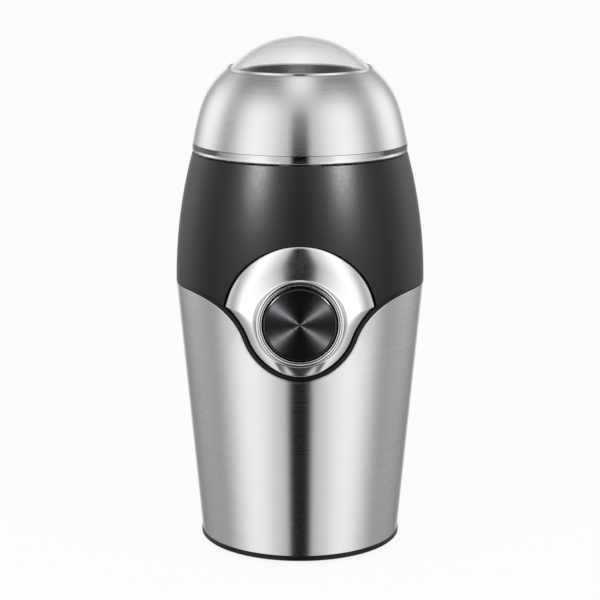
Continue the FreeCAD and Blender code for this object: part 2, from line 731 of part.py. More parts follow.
# Bezel: a bright moulding inlaid in housing and trim, with a collar that rises from it
bezel_sheet = overlap("bezel_sheet", [
    bezel_skin("bezel_face", 0, s.bezel_depth),
    rod(s.bezel_radius, front_reach, 0, 0, s.button_height, TO_FRONT, "bezel_disc"),
])
bezel_collar = rod(
    s.collar_radius, s.collar_front - s.collar_back, 0, -s.collar_back, s.button_height,
    TO_FRONT, "collar_rod",
)
bezel_blank = union("bezel_blank", [bezel_sheet, bezel_collar])
doc.recompute()


def foot_edges(shape):
    """The edges where the collar leaves the face of the bezel, the nearer half of those round it."""
    found = []
    for index, edge in enumerate(shape.Edges, start=1):
        points = edge.discretize(9)
        reach = [math.hypot(p.x, p.z - number(s.button_height)) for p in points]
        spread = [abs(distance - number(s.collar_radius)) for distance in reach]
        flat = max(p.y for p in points) - min(p.y for p in points) < 0.01
        straight = edge.Curve.TypeId == "Part::GeomLine"
        if max(spread) < 0.01 and not flat and not straight:
            found.append((sum(p.y for p in points) / len(points), index))
    found.sort()
    return [index for _, index in found[:len(found) // 2]]


bezel_hollow = doc.addObject("Part::Fillet", "bezel_hollow")
bezel_hollow.Base = bezel_blank
fillet = number(s.collar_fillet)
bezel_hollow.Edges = [(index, fillet, fillet) for index in foot_edges(bezel_blank.Shape)]
above_bezel = above_seam("above_bezel", s.trim_width + s.fit_gap)
bezel_trimmed = overlap("bezel_trimmed", [bezel_hollow, above_bezel])
button_bezel = minus("button_bezel", bezel_trimmed, [
    rod(s.collar_bore, front_reach, 0, 0, s.button_height, TO_FRONT, "collar_bore"),
])


def facing(thing):
    """Turns a revolved piece so that its axis is the button axis and its +Z points to the front."""
    return place(thing, 0, 0, s.button_height, TO_FRONT)


# Bright ring seated in the collar
ring_radius = s.collar_bore - s.fit_gap
button_ring = facing(revolved("button_ring", [
    (s.ring_bore, s.collar_back),
    (ring_radius, s.collar_back),
    (ring_radius, s.ring_front),
    (s.ring_bore + 0.5, s.ring_front),
    (s.ring_bore, s.ring_front - 0.5),
]))

# Button cap with its stem, spun face, clip and spring
cap_back = s.cap_front - s.cap_depth
cap_inner = s.cap_front - s.cap_wall
button_cap = facing(revolved("button_cap", [
    (0, s.stem_back),
    (s.stem_radius - 0.4, s.stem_back),
    (s.stem_radius, s.stem_back + 0.4),
    (s.stem_radius, cap_inner),
    (s.cap_radius - s.cap_wall, cap_inner),
    (s.cap_radius - s.cap_wall, cap_back),
    (s.cap_radius, cap_back),
    (s.cap_radius, s.cap_front - 0.8),
    (s.cap_radius - 0.4, s.cap_front),
    (s.face_radius + s.fit_gap, s.cap_front),
    (s.face_radius + s.fit_gap, s.cap_front - s.face_sheet),
    (0, s.cap_front - s.face_sheet),
]))
button_face = facing(revolved("button_face", [
    (0, s.cap_front - s.face_sheet),
    (s.face_radius, s.cap_front - s.face_sheet),
    (s.face_radius, s.cap_front - 0.2),
    (s.face_radius - 0.2, s.cap_front),
    (s.face_groove + 0.12, s.cap_front),
    (s.face_groove, s.cap_front - 0.12),
    (s.face_groove - 0.12, s.cap_front),
    (0, s.cap_front),
]))
button_spring = facing(revolved("button_spring", [
    (s.button_spring_radius - s.spring_wire, s.guide_front),
    (s.button_spring_radius, s.guide_front),
    (s.button_spring_radius, cap_inner),
    (s.button_spring_radius - s.spring_wire, cap_inner),
]))
clip_front = tube_back - s.fit_gap
button_clip = facing(revolved("button_clip", [
    (s.stem_radius, clip_front - 0.8),
    (s.stem_radius + 2.2, clip_front - 0.8),
    (s.stem_radius + 2.2, clip_front),
    (s.stem_radius, clip_front),
]))

# Main switch between its ribs, with the plunger that the stem pushes
plunger_radius = 1.5
plunger_back = s.switch_front - 1.5
switch_hole_depth = 1.5 + s.button_travel + 0.6
power_switch = minus("power_switch", box(
    -s.switch_half, s.switch_half, -s.switch_front, -s.switch_front + s.switch_depth,
    switch_foot, switch_foot + 10, "switch_case",
), [rod(
    plunger_radius + s.fit_gap, 40, 0, -s.switch_front + switch_hole_depth, s.button_height,
    TO_FRONT, "switch_bore",
)])
switch_plunger = rod(
    plunger_radius, s.stem_back - s.fit_gap - plunger_back, 0, -plunger_back, s.button_height,
    TO_FRONT, "switch_plunger",
)
terminals = []
for x in (-6.5, 0, 6.5):
    terminals.append(box(
        x - 2.4, x + 2.4, -s.switch_front + 2.6, -s.switch_front + 3.4,
        switch_foot - 6, switch_foot, "terminal",
    ))
switch_terminals = union("switch_terminals", terminals)

# Lid: clear dome with its band, skirt, tab and prong, under a brushed steel sleeve
lid_foot = s.recess_floor + s.lid_gap
band_foot = s.housing_height + s.sheet_gap
band_top = s.housing_height + s.lid_band_height


def bow_centre(a, b, bow):
    """The middle of an arc that runs up and inwards from a to b."""
    dx = b[0] - a[0]
    dz = b[1] - a[1]
    square = dx * dx + dz * dz
    share = root(bow * bow / square - 0.25)
    return ((a[0] + b[0]) / 2 - dz * share, (a[1] + b[1]) / 2 + dx * share)


def inwards(point, centre, bow, depth):
    share = depth / bow
    return (point[0] + (centre[0] - point[0]) * share, point[1] + (centre[1] - point[1]) * share)


steel_foot = (s.lid_steel_radius, band_top + s.fit_gap)
steel_shoulder = (s.lid_shoulder_radius, s.lid_shoulder_height)
steel_mouth = (s.lid_mouth_radius, s.lid_mouth_height)
low_centre = bow_centre(steel_foot, steel_shoulder, s.lid_steel_low_bow)
high_centre = bow_centre(steel_shoulder, steel_mouth, s.lid_steel_high_bow)


def below_steel(depth):
    """Foot, shoulder and mouth of the lid steel, moved inwards by a depth."""
    foot = inwards(steel_foot, low_centre, s.lid_steel_low_bow, depth)
    shoulder = inwards(steel_shoulder, low_centre, s.lid_steel_low_bow, depth)
    mouth = inwards(steel_mouth, high_centre, s.lid_steel_high_bow, depth)
    return foot, shoulder, mouth


steel_inner = below_steel(s.lid_sheet)
lid_sleeve = revolved("lid_sleeve", [
    (steel_foot[0], steel_foot[1], s.lid_steel_low_bow),
    (steel_shoulder[0], steel_shoulder[1], s.lid_steel_high_bow),
    steel_mouth,
    (steel_inner[2][0], steel_inner[2][1], s.lid_sheet - s.lid_steel_high_bow),
    (steel_inner[1][0], steel_inner[1][1], s.lid_sheet - s.lid_steel_low_bow),
    (steel_inner[0][0], steel_foot[1]),
])

clear_outer = below_steel(s.lid_sheet + s.fit_gap)
clear_inner = below_steel(s.lid_sheet + s.fit_gap + s.lid_wall)
bubble_centre = s.total_height - s.bubble_radius
bubble_foot_rise = root(s.bubble_radius * s.bubble_radius - s.bubble_foot * s.bubble_foot)
inner_share = (s.bubble_radius - s.lid_wall) / s.bubble_radius
low_bow = s.lid_steel_low_bow - s.lid_sheet - s.fit_gap
high_bow = s.lid_steel_high_bow - s.lid_sheet - s.fit_gap
lid_form = revolved("lid_form", [
    (skirt_inner, lid_foot),
    (skirt_outer, lid_foot),
    (skirt_outer, band_foot),
    (s.lid_band_radius, band_foot),
    (s.lid_band_radius, band_top),
    (clear_outer[0][0], band_top, low_bow),
    (clear_outer[1][0], clear_outer[1][1], high_bow),
    (s.bubble_foot, bubble_centre + bubble_foot_rise, s.bubble_radius),
    (0, s.total_height),
    (0, s.total_height - s.lid_wall, s.lid_wall - s.bubble_radius),
    (s.bubble_foot * inner_share, bubble_centre + bubble_foot_rise * inner_share, s.lid_wall - high_bow),
    (clear_inner[1][0], clear_inner[1][1], s.lid_wall - low_bow),
    clear_inner[0],
    (skirt_inner, band_foot + 2),
])
rim_ring = revolved("rim_ring", [
    (skirt_inner, lid_foot - s.prong_drop),
    (skirt_outer, lid_foot - s.prong_drop),
    (skirt_outer, band_foot - s.tab_drop),
    (s.lid_band_radius, band_foot - s.tab_drop),
    (s.lid_band_radius, band_foot + 1),
    (skirt_inner, band_foot + 1),
])
lid_tab = overlap("lid_tab", [
    rim_ring,
    box(-tab_half, tab_half, -s.body_radius, -30, s.recess_floor - 12, s.housing_height + 3, "tab_block"),
])
lid_dome = union("lid_dome", [lid_form, lid_tab])

# Grinding bowl, pressed from sheet, with a flange that rests on the collar of the housing
bowl_outer = s.bowl_radius + s.bowl_sheet
flange_top = s.bowl_collar_height + s.bowl_sheet
grinding_bowl = revolved("grinding_bowl", [
    (seal_hole, s.bowl_floor - s.bowl_sheet),
    (s.bowl_radius - s.bowl_corner, s.bowl_floor - s.bowl_sheet, s.bowl_corner + s.bowl_sheet),
    (bowl_outer, s.bowl_floor + s.bowl_corner),
    (bowl_outer, s.bowl_collar_height),
    (s.collar_outer - s.fit_gap, s.bowl_collar_height),
    (s.collar_outer - s.fit_gap, flange_top),
    (s.bowl_radius + 0.6, flange_top, 0.6),
    (s.bowl_radius, flange_top - 0.6),
    (s.bowl_radius, s.bowl_floor + s.bowl_corner, -s.bowl_corner),
    (s.bowl_radius - s.bowl_corner, s.bowl_floor),
    (seal_hole, s.bowl_floor),
])
bowl_gasket = revolved("bowl_gasket", [
    (s.gasket_bore, s.deck_height),
    (s.gasket_radius, s.deck_height),
    (s.gasket_radius, s.bowl_floor - s.bowl_sheet),
    (s.gasket_bore, s.bowl_floor - s.bowl_sheet),
])

# Seal bush through the bowl floor and the deck, and the nut that clamps all three
shaft_hole = s.shaft_radius + s.fit_gap
seal_top = s.bowl_floor + s.seal_flange_height
shaft_seal = revolved("shaft_seal", [
    (shaft_hole, s.seal_foot),
    (s.seal_radius, s.seal_foot),
    (s.seal_radius, s.bowl_floor),
    (s.seal_flange, s.bowl_floor),
    (s.seal_flange, seal_top - 0.6),
    (s.seal_flange - 0.6, seal_top),
    (5.2, seal_top),
    (4.8, seal_top + s.seal_boss_height),
    (shaft_hole, seal_top + s.seal_boss_height),
])


def hexagon(label, flats, height, bore, x, y, z):
    """A nut: six flats round a bore."""
    body = new_body(label)
    sketch = sketch_on(body, "XY_Plane")
    corner = flats / math.sqrt(3)
    outline(sketch, [
        (corner * math.cos(math.radians(60 * i)), corner * math.sin(math.radians(60 * i))) for i in range(6)
    ])
    if bore is not None:
        circle(sketch, bore)
    pad(body, sketch, height)
    return place(body, x, y, z)


bowl_nut = hexagon(
    "bowl_nut", s.bowl_nut_flats, s.bowl_nut_height, s.seal_radius + s.fit_gap,
    0, 0, s.deck_foot - s.bowl_nut_height,
)

# Blade: two swept wings with raised tips, on a hub and under a domed nut
hub_foot = s.blade_foot - s.hub_height
blade_top = s.blade_foot + s.blade_sheet
wing_flat = s.blade_radius * 0.6
tip_rise = s.blade_foot + s.blade_lift
half = s.blade_width / 2
blade_side = new_body("blade_side")
side_view = sketch_on(blade_side, "XZ_Plane", -1 * half)
outline(side_view, [
    (-s.blade_radius, tip_rise),
    (-wing_flat, s.blade_foot),
    (wing_flat, s.blade_foot),
    (s.blade_radius, tip_rise),
    (s.blade_radius - 0.6, tip_rise + s.blade_sheet),
    (wing_flat - 0.3, blade_top),
    (0.3 - wing_flat, blade_top),
    (0.6 - s.blade_radius, tip_rise + s.blade_sheet),
])
pad(blade_side, side_view, s.blade_width)
blade_plan = new_body("blade_plan")
plan_view = sketch_on(blade_plan, "XY_Plane", s.blade_foot - 1)
outline(plan_view, [
    (-s.blade_radius, -0.45 * half),
    (-9, -half),
    (9, -half),
    (s.blade_radius, -0.1 * half),
    (s.blade_radius, 0.45 * half),
    (9, half),
    (-9, half),
    (-s.blade_radius, 0.1 * half),
])
circle(plan_view, shaft_hole)
pad(blade_plan, plan_view, s.blade_lift + s.blade_sheet + 2)
grinding_blade = overlap("grinding_blade", [blade_side, blade_plan])
blade_hub = revolved("blade_hub", [
    (shaft_hole, hub_foot),
    (6, hub_foot),
    (6, s.blade_foot - 0.4),
    (5.6, s.blade_foot),
    (shaft_hole, s.blade_foot),
])
shaft_top = blade_top + 4
nut_flat = blade_top + s.blade_nut_height * 0.55
blade_nut = minus("blade_nut", overlap("nut_form", [
    hexagon("nut_hexagon", 10, s.blade_nut_height, None, 0, 0, blade_top),
    revolved("nut_dome", [
        (0, blade_top),
        (6, blade_top),
        (6, nut_flat - 0.6),
        (4.8, nut_flat, 4.9),
        (0, blade_top + s.blade_nut_height),
    ]),
]), [rod(shaft_hole, 4.3, 0, 0, blade_top - 0.1, None, "nut_bore")])

# Rotor: shaft, armature, windings, commutator and fan turn as one
motor_shaft = revolved("motor_shaft", [
    (0, s.shaft_foot),
    (s.shaft_radius - 0.4, s.shaft_foot),
    (s.shaft_radius, s.shaft_foot + 0.4),
    (s.shaft_radius, shaft_top - 0.4),
    (s.shaft_radius - 0.4, shaft_top),
    (0, shaft_top),
])
slot_half = 1.1
slot_floor = 8.4
core_foot = s.stator_foot + 1
core_height = s.stator_height - 2
armature_core = new_body("armature_core")
core_plan = sketch_on(armature_core, "XY_Plane", core_foot)
circle(core_plan, s.armature_radius)
circle(core_plan, s.shaft_radius)
pad(armature_core, core_plan, core_height)
slot_plan = sketch_on(armature_core, "XY_Plane", core_foot)
lip = s.armature_radius - 1.2
outline(slot_plan, [
    (slot_floor, -slot_half),
    (lip - 0.4, -slot_half),
    (lip, -0.5),
    (s.armature_radius + 1, -0.5),
    (s.armature_radius + 1, 0.5),
    (lip, 0.5),
    (lip - 0.4, slot_half),
    (slot_floor, slot_half),
])
core_slot = pocket(armature_core, slot_plan, core_height, backwards=True)
polar(armature_core, core_slot, s.armature_slots)

wire_half = slot_half - 0.1
winding_reach = lip - 0.5
armature_windings = new_body("armature_windings")
revolve(armature_windings, [
    (s.shaft_radius + 0.8, core_foot - 6),
    (winding_reach - 2, core_foot - 6),
    (winding_reach, core_foot - 4, 3),
    (winding_reach - 0.6, core_foot),
    (s.shaft_radius + 0.8, core_foot),
])
top_sketch = sketch_on(armature_windings, "XZ_Plane")
core_top = core_foot + core_height
outline(top_sketch, [
    (s.shaft_radius + 0.8, core_top),
    (winding_reach - 0.6, core_top, 3),
    (winding_reach, core_top + 4),
    (winding_reach - 2, core_top + 6),
    (s.shaft_radius + 0.8, core_top + 6),
])
wire_plan = sketch_on(armature_windings, "XY_Plane", core_foot)
outline(wire_plan, [
    (slot_floor + 0.1, -wire_half),
    (winding_reach - 0.6, -wire_half),
    (winding_reach - 0.6, wire_half),
    (slot_floor + 0.1, wire_half),
])
wire = pad(armature_windings, wire_plan, core_height)
polar(armature_windings, wire, s.armature_slots)
top_turns = armature_windings.newObject("PartDesign::Revolution", "top_turns")
top_turns.Profile = top_sketch
top_turns.ReferenceAxis = (roles(armature_windings)["Z_Axis"], [""])
top_turns.Angle = 360

commutator = new_body("commutator")
revolve(commutator, [
    (s.shaft_radius, s.commutator_foot),
    (s.commutator_radius, s.commutator_foot),
    (s.commutator_radius, s.commutator_foot + s.commutator_height - 1.6),
    (s.commutator_radius + 1.4, s.commutator_foot + s.commutator_height - 1.4),
    (s.commutator_radius + 1.4, s.commutator_foot + s.commutator_height),
    (s.shaft_radius, s.commutator_foot + s.commutator_height),
])
gap_plan = sketch_on(commutator, "XY_Plane", s.commutator_foot)
outline(gap_plan, [
    (s.commutator_radius - 0.8, -0.25),
    (s.commutator_radius + 3, -0.25),
    (s.commutator_radius + 3, 0.25),
    (s.commutator_radius - 0.8, 0.25),
])
segment_gap = pocket(commutator, gap_plan, s.commutator_height, backwards=True)
polar(commutator, segment_gap, s.armature_slots)

cooling_fan = new_body("cooling_fan")
fan_top = s.fan_foot + s.fan_height
revolve(cooling_fan, [
    (s.shaft_radius, s.fan_foot),
    (6, s.fan_foot),
    (6, fan_top - 1.6),
    (s.fan_radius, fan_top - 1.6),
    (s.fan_radius, fan_top),
    (s.shaft_radius, fan_top),
])
vane_plan = sketch_on(cooling_fan, "XY_Plane", s.fan_foot)
outline(vane_plan, [
    (9, -0.6, -28),
    (s.fan_radius - 1.4, 4.6),
    (s.fan_radius - 1.9, 5.7, 28),
    (9, 0.6),
])
vane = pad(cooling_fan, vane_plan, s.fan_height - 1.6)
polar(cooling_fan, vane, 11)

# Stator: a ring with two flats, pole necks and pole shoes, and a coil round each neck
stator_ring_bore = s.stator_radius - s.stator_yoke
stator_top = s.stator_foot + s.stator_height


def bracket_outline(label, radius, height, z):
    """A round plate cut flat at front and back, the shape that stator and brackets share."""
    disc = rod(radius, height, 0, 0, z, None, label + "_disc")
    slab = box(-radius, radius, -s.stator_half_width, s.stator_half_width, z, z + height, label + "_slab")
    return overlap(label, [disc, slab])


def wedge(label, outer, inner, height, z, angle):
    """Two opposite sectors of a ring, on the X axis, each as wide as the angle."""
    reach = outer * 1.5
    ring = minus(label + "_ring", rod(outer, height, 0, 0, z, None, label + "_outer"), [
        rod(inner, height + 2, 0, 0, z - 1, None, label + "_inner")
    ])
    rise = math.tan(math.radians(angle / 2))
    body = new_body(label + "_sectors")
    sketch = sketch_on(body, "XY_Plane", z)
    outline(sketch, [(0, 0), (reach, -rise * reach), (reach, rise * reach)])
    pad(body, sketch, height)
    other = new_body(label + "_mirror")
    sketch = sketch_on(other, "XY_Plane", z)
    outline(sketch, [(0, 0), (-reach, rise * reach), (-reach, -rise * reach)])
    pad(other, sketch, height)
    return overlap(label, [ring, union(label + "_pair", [body, other])])


shoe_outer = s.stator_bore + s.pole_shoe
neck_half = s.pole_neck / 2
shoes = wedge("pole_shoes", shoe_outer, s.stator_bore, s.stator_height, s.stator_foot, 104)
necks = minus("pole_necks", box(
    -stator_ring_bore - 1, stator_ring_bore + 1, -neck_half, neck_half, s.stator_foot, stator_top, "neck_bar"
), [rod(s.stator_bore + 1, s.stator_height + 2, 0, 0, s.stator_foot - 1, None, "neck_bore")])
stator_plate = bracket_outline("stator_plate", s.stator_radius, s.stator_height, s.stator_foot)
yoke = minus("stator_yoke", stator_plate, [
    rod(stator_ring_bore, s.stator_height + 2, 0, 0, s.stator_foot - 1, None, "yoke_bore")
])
post_x = s.post_circle * math.cos(math.radians(45))
posts = [(post_x, post_x), (-post_x, -post_x)]
stator_core = minus("stator_core", union("stator_solid", [yoke, necks, shoes]), [
    rod(s.motor_screw + s.fit_gap, s.stator_height + 2, x, y, s.stator_foot - 1, None, "stator_hole")
    for x, y in posts
])
coil_foot = s.stator_foot - s.coil_overhang
coil_gap = 0.3
coil_height = s.stator_height + 2 * s.coil_overhang
coil_ring = wedge(
    "coil_ring", stator_ring_bore - coil_gap, shoe_outer + coil_gap, coil_height, coil_foot, 70
)
field_coils = minus("field_coils", coil_ring, [
    box(
        -s.stator_radius, s.stator_radius, -neck_half - coil_gap, neck_half + coil_gap,
        s.stator_foot - coil_gap, stator_top + coil_gap, "coil_window",
    )
])

# Brackets: plates with bearing cups and posts, above and below the stator
bearing_seat = s.bearing_radius + s.fit_gap
cup_radius = s.bearing_radius + s.cup_wall
lower_plate_top = s.lower_plate_foot + s.bracket_plate
lower_solids = [
    bracket_outline("lower_plate", s.stator_radius, s.bracket_plate, s.lower_plate_foot),
    rod(cup_radius, s.bearing_height + 1, 0, 0, s.lower_plate_foot, None, "lower_cup"),
]
upper_plate_top = s.upper_plate_foot + s.bracket_plate
upper_cup_foot = upper_plate_top - s.bearing_height - 1
wing_x = s.mount_x + s.mount_radius + 0.6
wing_y = s.mount_y + s.mount_radius + 0.6
upper_solids = [
    bracket_outline("upper_plate", s.stator_radius, s.bracket_plate, s.upper_plate_foot),
    box(-wing_x, wing_x, -wing_y, wing_y, s.upper_plate_foot, upper_plate_top, "upper_wings"),
    rod(cup_radius, s.bearing_height + 1, 0, 0, upper_cup_foot, None, "upper_cup"),
]
lower_cuts = [
    rod(bearing_seat, s.bearing_height + 1, 0, 0, s.lower_plate_foot + 1, None, "lower_seat"),
    rod(s.shaft_radius + 1, 20, 0, 0, s.lower_plate_foot - 2, None, "lower_bore"),
]
upper_cuts = [
    rod(bearing_seat, s.bearing_height + 1, 0, 0, upper_cup_foot - 1, None, "upper_seat"),
    rod(s.shaft_radius + 1, 20, 0, 0, upper_cup_foot - 2, None, "upper_bore"),
]
for x, y in posts:
    lower_solids.append(rod(
        s.post_radius, s.stator_foot - lower_plate_top + 1, x, y, lower_plate_top - 1, None, "lower_post"
    ))
    upper_solids.append(rod(
        s.post_radius, s.upper_plate_foot - stator_top + 1, x, y, stator_top, None, "upper_post"
    ))
    lower_cuts.append(rod(s.motor_screw + s.fit_gap, 40, x, y, s.lower_plate_foot - 2, None, "lower_hole"))
    upper_cuts.append(rod(s.motor_screw + s.fit_gap, 40, x, y, stator_top - 2, None, "upper_hole"))
rubber_neck = s.mount_radius - 1.2
for x, y in mounts:
    upper_cuts.append(rod(rubber_neck + s.fit_gap, 10, x, y, s.upper_plate_foot - 2, None, "mount_seat"))
vent_half = 4.5
for x in (-1, 1):
    span = (13, 22) if x > 0 else (-22, -13)
    lower_cuts.append(box(
        span[0], span[1], -vent_half, vent_half, s.lower_plate_foot - 1, lower_plate_top + 1, "bracket_vent"
    ))
lower_bracket = minus("lower_bracket", union("lower_bracket_solid", lower_solids), lower_cuts)
upper_bracket = minus("upper_bracket", union("upper_bracket_solid", upper_solids), upper_cuts)


def bearing(label, z):
    """A sintered bush, bulged outside so that it can line itself up in its cup."""
    return revolved(label, [
        (shaft_hole, z),
        (s.bearing_radius - 0.9, z, s.bearing_height),
        (s.bearing_radius - 0.9, z + s.bearing_height),
        (shaft_hole, z + s.bearing_height),
    ])


lower_bearing = bearing("lower_bearing", s.lower_plate_foot + 1)
upper_bearing = bearing("upper_bearing", upper_cup_foot)

screw_span = upper_plate_top - s.lower_plate_foot
motor_screw_solids = []
for x, y in posts:
    shank = rod(s.motor_screw, screw_span, x, y, s.lower_plate_foot, None, "long_shank")
    head = rod(s.motor_screw * 1.8, 1.8, x, y, s.lower_plate_foot - 1.8, None, "long_head")
    motor_screw_solids.append(union("long_screw", [shank, head]))
motor_screws = union("motor_screws", motor_screw_solids)

# Rubber mounts that hang the motor from the deck, each with its screw
mount_solids = []
mount_screw_solids = []
for x, y in mounts:
    rubber = revolved("rubber_mount", [
        (s.screw_radius + 0.3, s.upper_plate_foot - 2),
        (s.mount_radius, s.upper_plate_foot - 2),
        (s.mount_radius, s.upper_plate_foot),
        (rubber_neck, s.upper_plate_foot),
        (rubber_neck, upper_plate_top),
        (s.mount_radius, upper_plate_top),
        (s.mount_radius, s.mount_top),
        (s.screw_radius + 0.3, s.mount_top),
    ])
    mount_solids.append(place(rubber, x, y, 0))
    head_z = s.upper_plate_foot - 2 - 1.6
    head = rod(s.screw_head, 1.6, x, y, head_z, None, "mount_screw_head")
    shank = rod(s.screw_radius, s.mount_top - head_z + 7, x, y, head_z, None, "mount_screw_shank")
    mount_screw_solids.append(union("mount_screw", [head, shank]))
motor_mounts = union("motor_mounts", mount_solids)
mount_screws = union("mount_screws", mount_screw_solids)

# Brushes: a holder on the lower bracket, a carbon block and its spring on either side
brush_mid = s.commutator_foot + 3.6
brush_half_width = 2.5
brush_half_height = 3.0
holder_inner = s.commutator_radius + 1.8
holder_outer = 25.0
holders = []
carbons = []
brush_coils = []


def across(side, low, high, y, foot, top, name):
    """A block on one side of the shaft, from low to high along X and as far to the front as to the back."""
    if side > 0:
        return box(low, high, -y, y, foot, top, name)
    return box(-high, -low, -y, y, foot, top, name)


for side in (-1, 1):
    tube = across(
        side, holder_inner, holder_outer, brush_half_width + 1.2,
        brush_mid - brush_half_height - 1.2, brush_mid + brush_half_height + 1.2, "holder_tube",
    )
    leg = across(side, 16, 21, 6.5, lower_plate_top, brush_mid - brush_half_height - 1, "holder_leg")
    channel = across(
        side, holder_inner - 1, holder_outer - 1.2, brush_half_width + s.fit_gap,
        brush_mid - brush_half_height - s.fit_gap, brush_mid + brush_half_height + s.fit_gap,
        "holder_channel",
    )
    window = across(side, 15, 22, 4.6, lower_plate_top - 1, lower_plate_top + 3, "holder_window")
    holders.append(minus("brush_holder", union("holder_solid", [tube, leg]), [channel, window]))
    carbon_back = s.commutator_radius + 8
    carbons.append(across(
        side, s.commutator_radius + s.fit_gap, carbon_back, brush_half_width,
        brush_mid - brush_half_height, brush_mid + brush_half_height, "carbon",
    ))
    coil = minus("brush_coil", rod(
        2.2, 1, 0, 0, brush_mid, TO_RIGHT, "coil_outer"
    ), [rod(1.5, 60, -30, 0, brush_mid, TO_RIGHT, "coil_inner")])
    outer = coil.Base
    bind(outer, "Height", holder_outer - 1.2 - carbon_back)
    start = carbon_back if side > 0 else 1.2 - holder_outer
    place(outer, start, 0, brush_mid, TO_RIGHT)
    brush_coils.append(coil)
brush_holders = union("brush_holders", holders)
carbon_brushes = union("carbon_brushes", carbons)
brush_springs = union("brush_springs", brush_coils)

# Base cover: plate with a rim, an upstand inside the housing, vents, foot recesses and screw holes
upstand_radius = housing_inside - s.fit_gap
base_cover = new_body("base_cover")
rim_radius = s.base_radius + s.base_lip
revolve(base_cover, [
    (0, s.foot_stand),
    (rim_radius - 0.5, s.foot_stand),
    (rim_radius, s.foot_stand + 0.5),
    (rim_radius, cover_top - 0.4),
    (rim_radius - 0.4, cover_top),
    (upstand_radius, cover_top),
    (upstand_radius, cover_top + s.upstand_height),
    (upstand_radius - s.upstand_wall, cover_top + s.upstand_height),
    (upstand_radius - s.upstand_wall, cover_top),
    (0, cover_top),
])
foot_plan = sketch_on(base_cover, "XY_Plane", s.foot_stand)
foot_places = []
for angle in (45, 135, 225, 315):
    x = s.foot_circle * math.cos(math.radians(angle))
    y = s.foot_circle * math.sin(math.radians(angle))
    foot_places.append((x, y))
    circle(foot_plan, s.foot_radius + s.fit_gap, x, y)
pocket(base_cover, foot_plan, s.foot_recess, backwards=True)
stud_radius = 1.8
hole_plan = sketch_on(base_cover, "XY_Plane", s.foot_stand)
for x, y in foot_places:
    circle(hole_plan, stud_radius + s.fit_gap, x, y)
screw_places = []
for angle in screw_angles:
    x = screw_circle * math.cos(math.radians(angle))
    y = screw_circle * math.sin(math.radians(angle))
    screw_places.append((x, y))
    circle(hole_plan, s.screw_radius + s.fit_gap, x, y)
pocket(base_cover, hole_plan, s.base_plate + 1, backwards=True)
sink_plan = sketch_on(base_cover, "XY_Plane", s.foot_stand)
sink_depth = 1.2
for x, y in screw_places:
    circle(sink_plan, s.screw_head + 0.3, x, y)
pocket(base_cover, sink_plan, sink_depth, backwards=True)
vent_plan = sketch_on(base_cover, "XY_Plane", s.foot_stand)
vent_side = s.vent_width / 2
outline(vent_plan, [
    (s.vent_inner, -0.5 * vent_side),
    (s.vent_outer, -vent_side, 1.2 * vent_side),
    (s.vent_outer, vent_side),
    (s.vent_inner, 0.5 * vent_side, 0.8 * vent_side),
])
vent = pocket(base_cover, vent_plan, s.base_plate + 1, backwards=True)
polar(base_cover, vent, s.vent_slots)

foot_solids = []
for x, y in foot_places:
    foot = revolved("foot", [
        (0, 0),
        (s.foot_radius - 0.4, 0),
        (s.foot_radius, 0.4),
        (s.foot_radius, s.foot_stand + s.foot_recess),
        (stud_radius, s.foot_stand + s.foot_recess),
        (stud_radius, cover_top),
        (stud_radius + 0.7, cover_top),
        (stud_radius - 0.4, cover_top + 1.6),
        (0, cover_top + 1.6),
    ])
    foot_solids.append(place(foot, x, y, 0))
rubber_feet = union("rubber_feet", foot_solids)
screw_solids = []
for x, y in screw_places:
    head = rod(s.screw_head, sink_depth, x, y, s.foot_stand, None, "base_screw_head")
    shank = rod(s.screw_radius, 12, x, y, s.foot_stand + sink_depth, None, "base_screw_shank")
    screw_solids.append(union("base_screw", [head, shank]))
base_screws = union("base_screws", screw_solids)

# Cord inlet: a bush through sleeve and housing, with a flange outside and a snap ring inside
flange_seat = cone_radius(s.inlet_height + s.inlet_flange) + s.fit_gap
flange_front = flange_seat + 1.4
inside_face = cone_radius(s.inlet_height - s.inlet_flange) - s.housing_wall - 0.5
cord_inlet = place(revolved("cord_inlet", [
    (s.inlet_bore, inside_face - 3),
    (s.inlet_neck + 0.1, inside_face - 3),
    (s.inlet_neck + 0.9, inside_face - 1.2),
    (s.inlet_neck + 0.9, inside_face),
    (s.inlet_neck, inside_face),
    (s.inlet_neck, flange_seat),
    (s.inlet_flange, flange_seat),
    (s.inlet_flange, flange_front - 0.6),
    (s.inlet_flange - 0.6, flange_front),
    (s.inlet_bore, flange_front),
]), 0, 0, s.inlet_height, FreeCAD.Rotation(V(1, 0, 0), -90))

# Suppression capacitor in its pocket on the rear wall
suppression_capacitor = box(
    -s.capacitor_half, s.capacitor_half, capacitor_back - s.capacitor_depth, capacitor_back,
    s.capacitor_foot, s.capacitor_top, "suppression_capacitor",
)

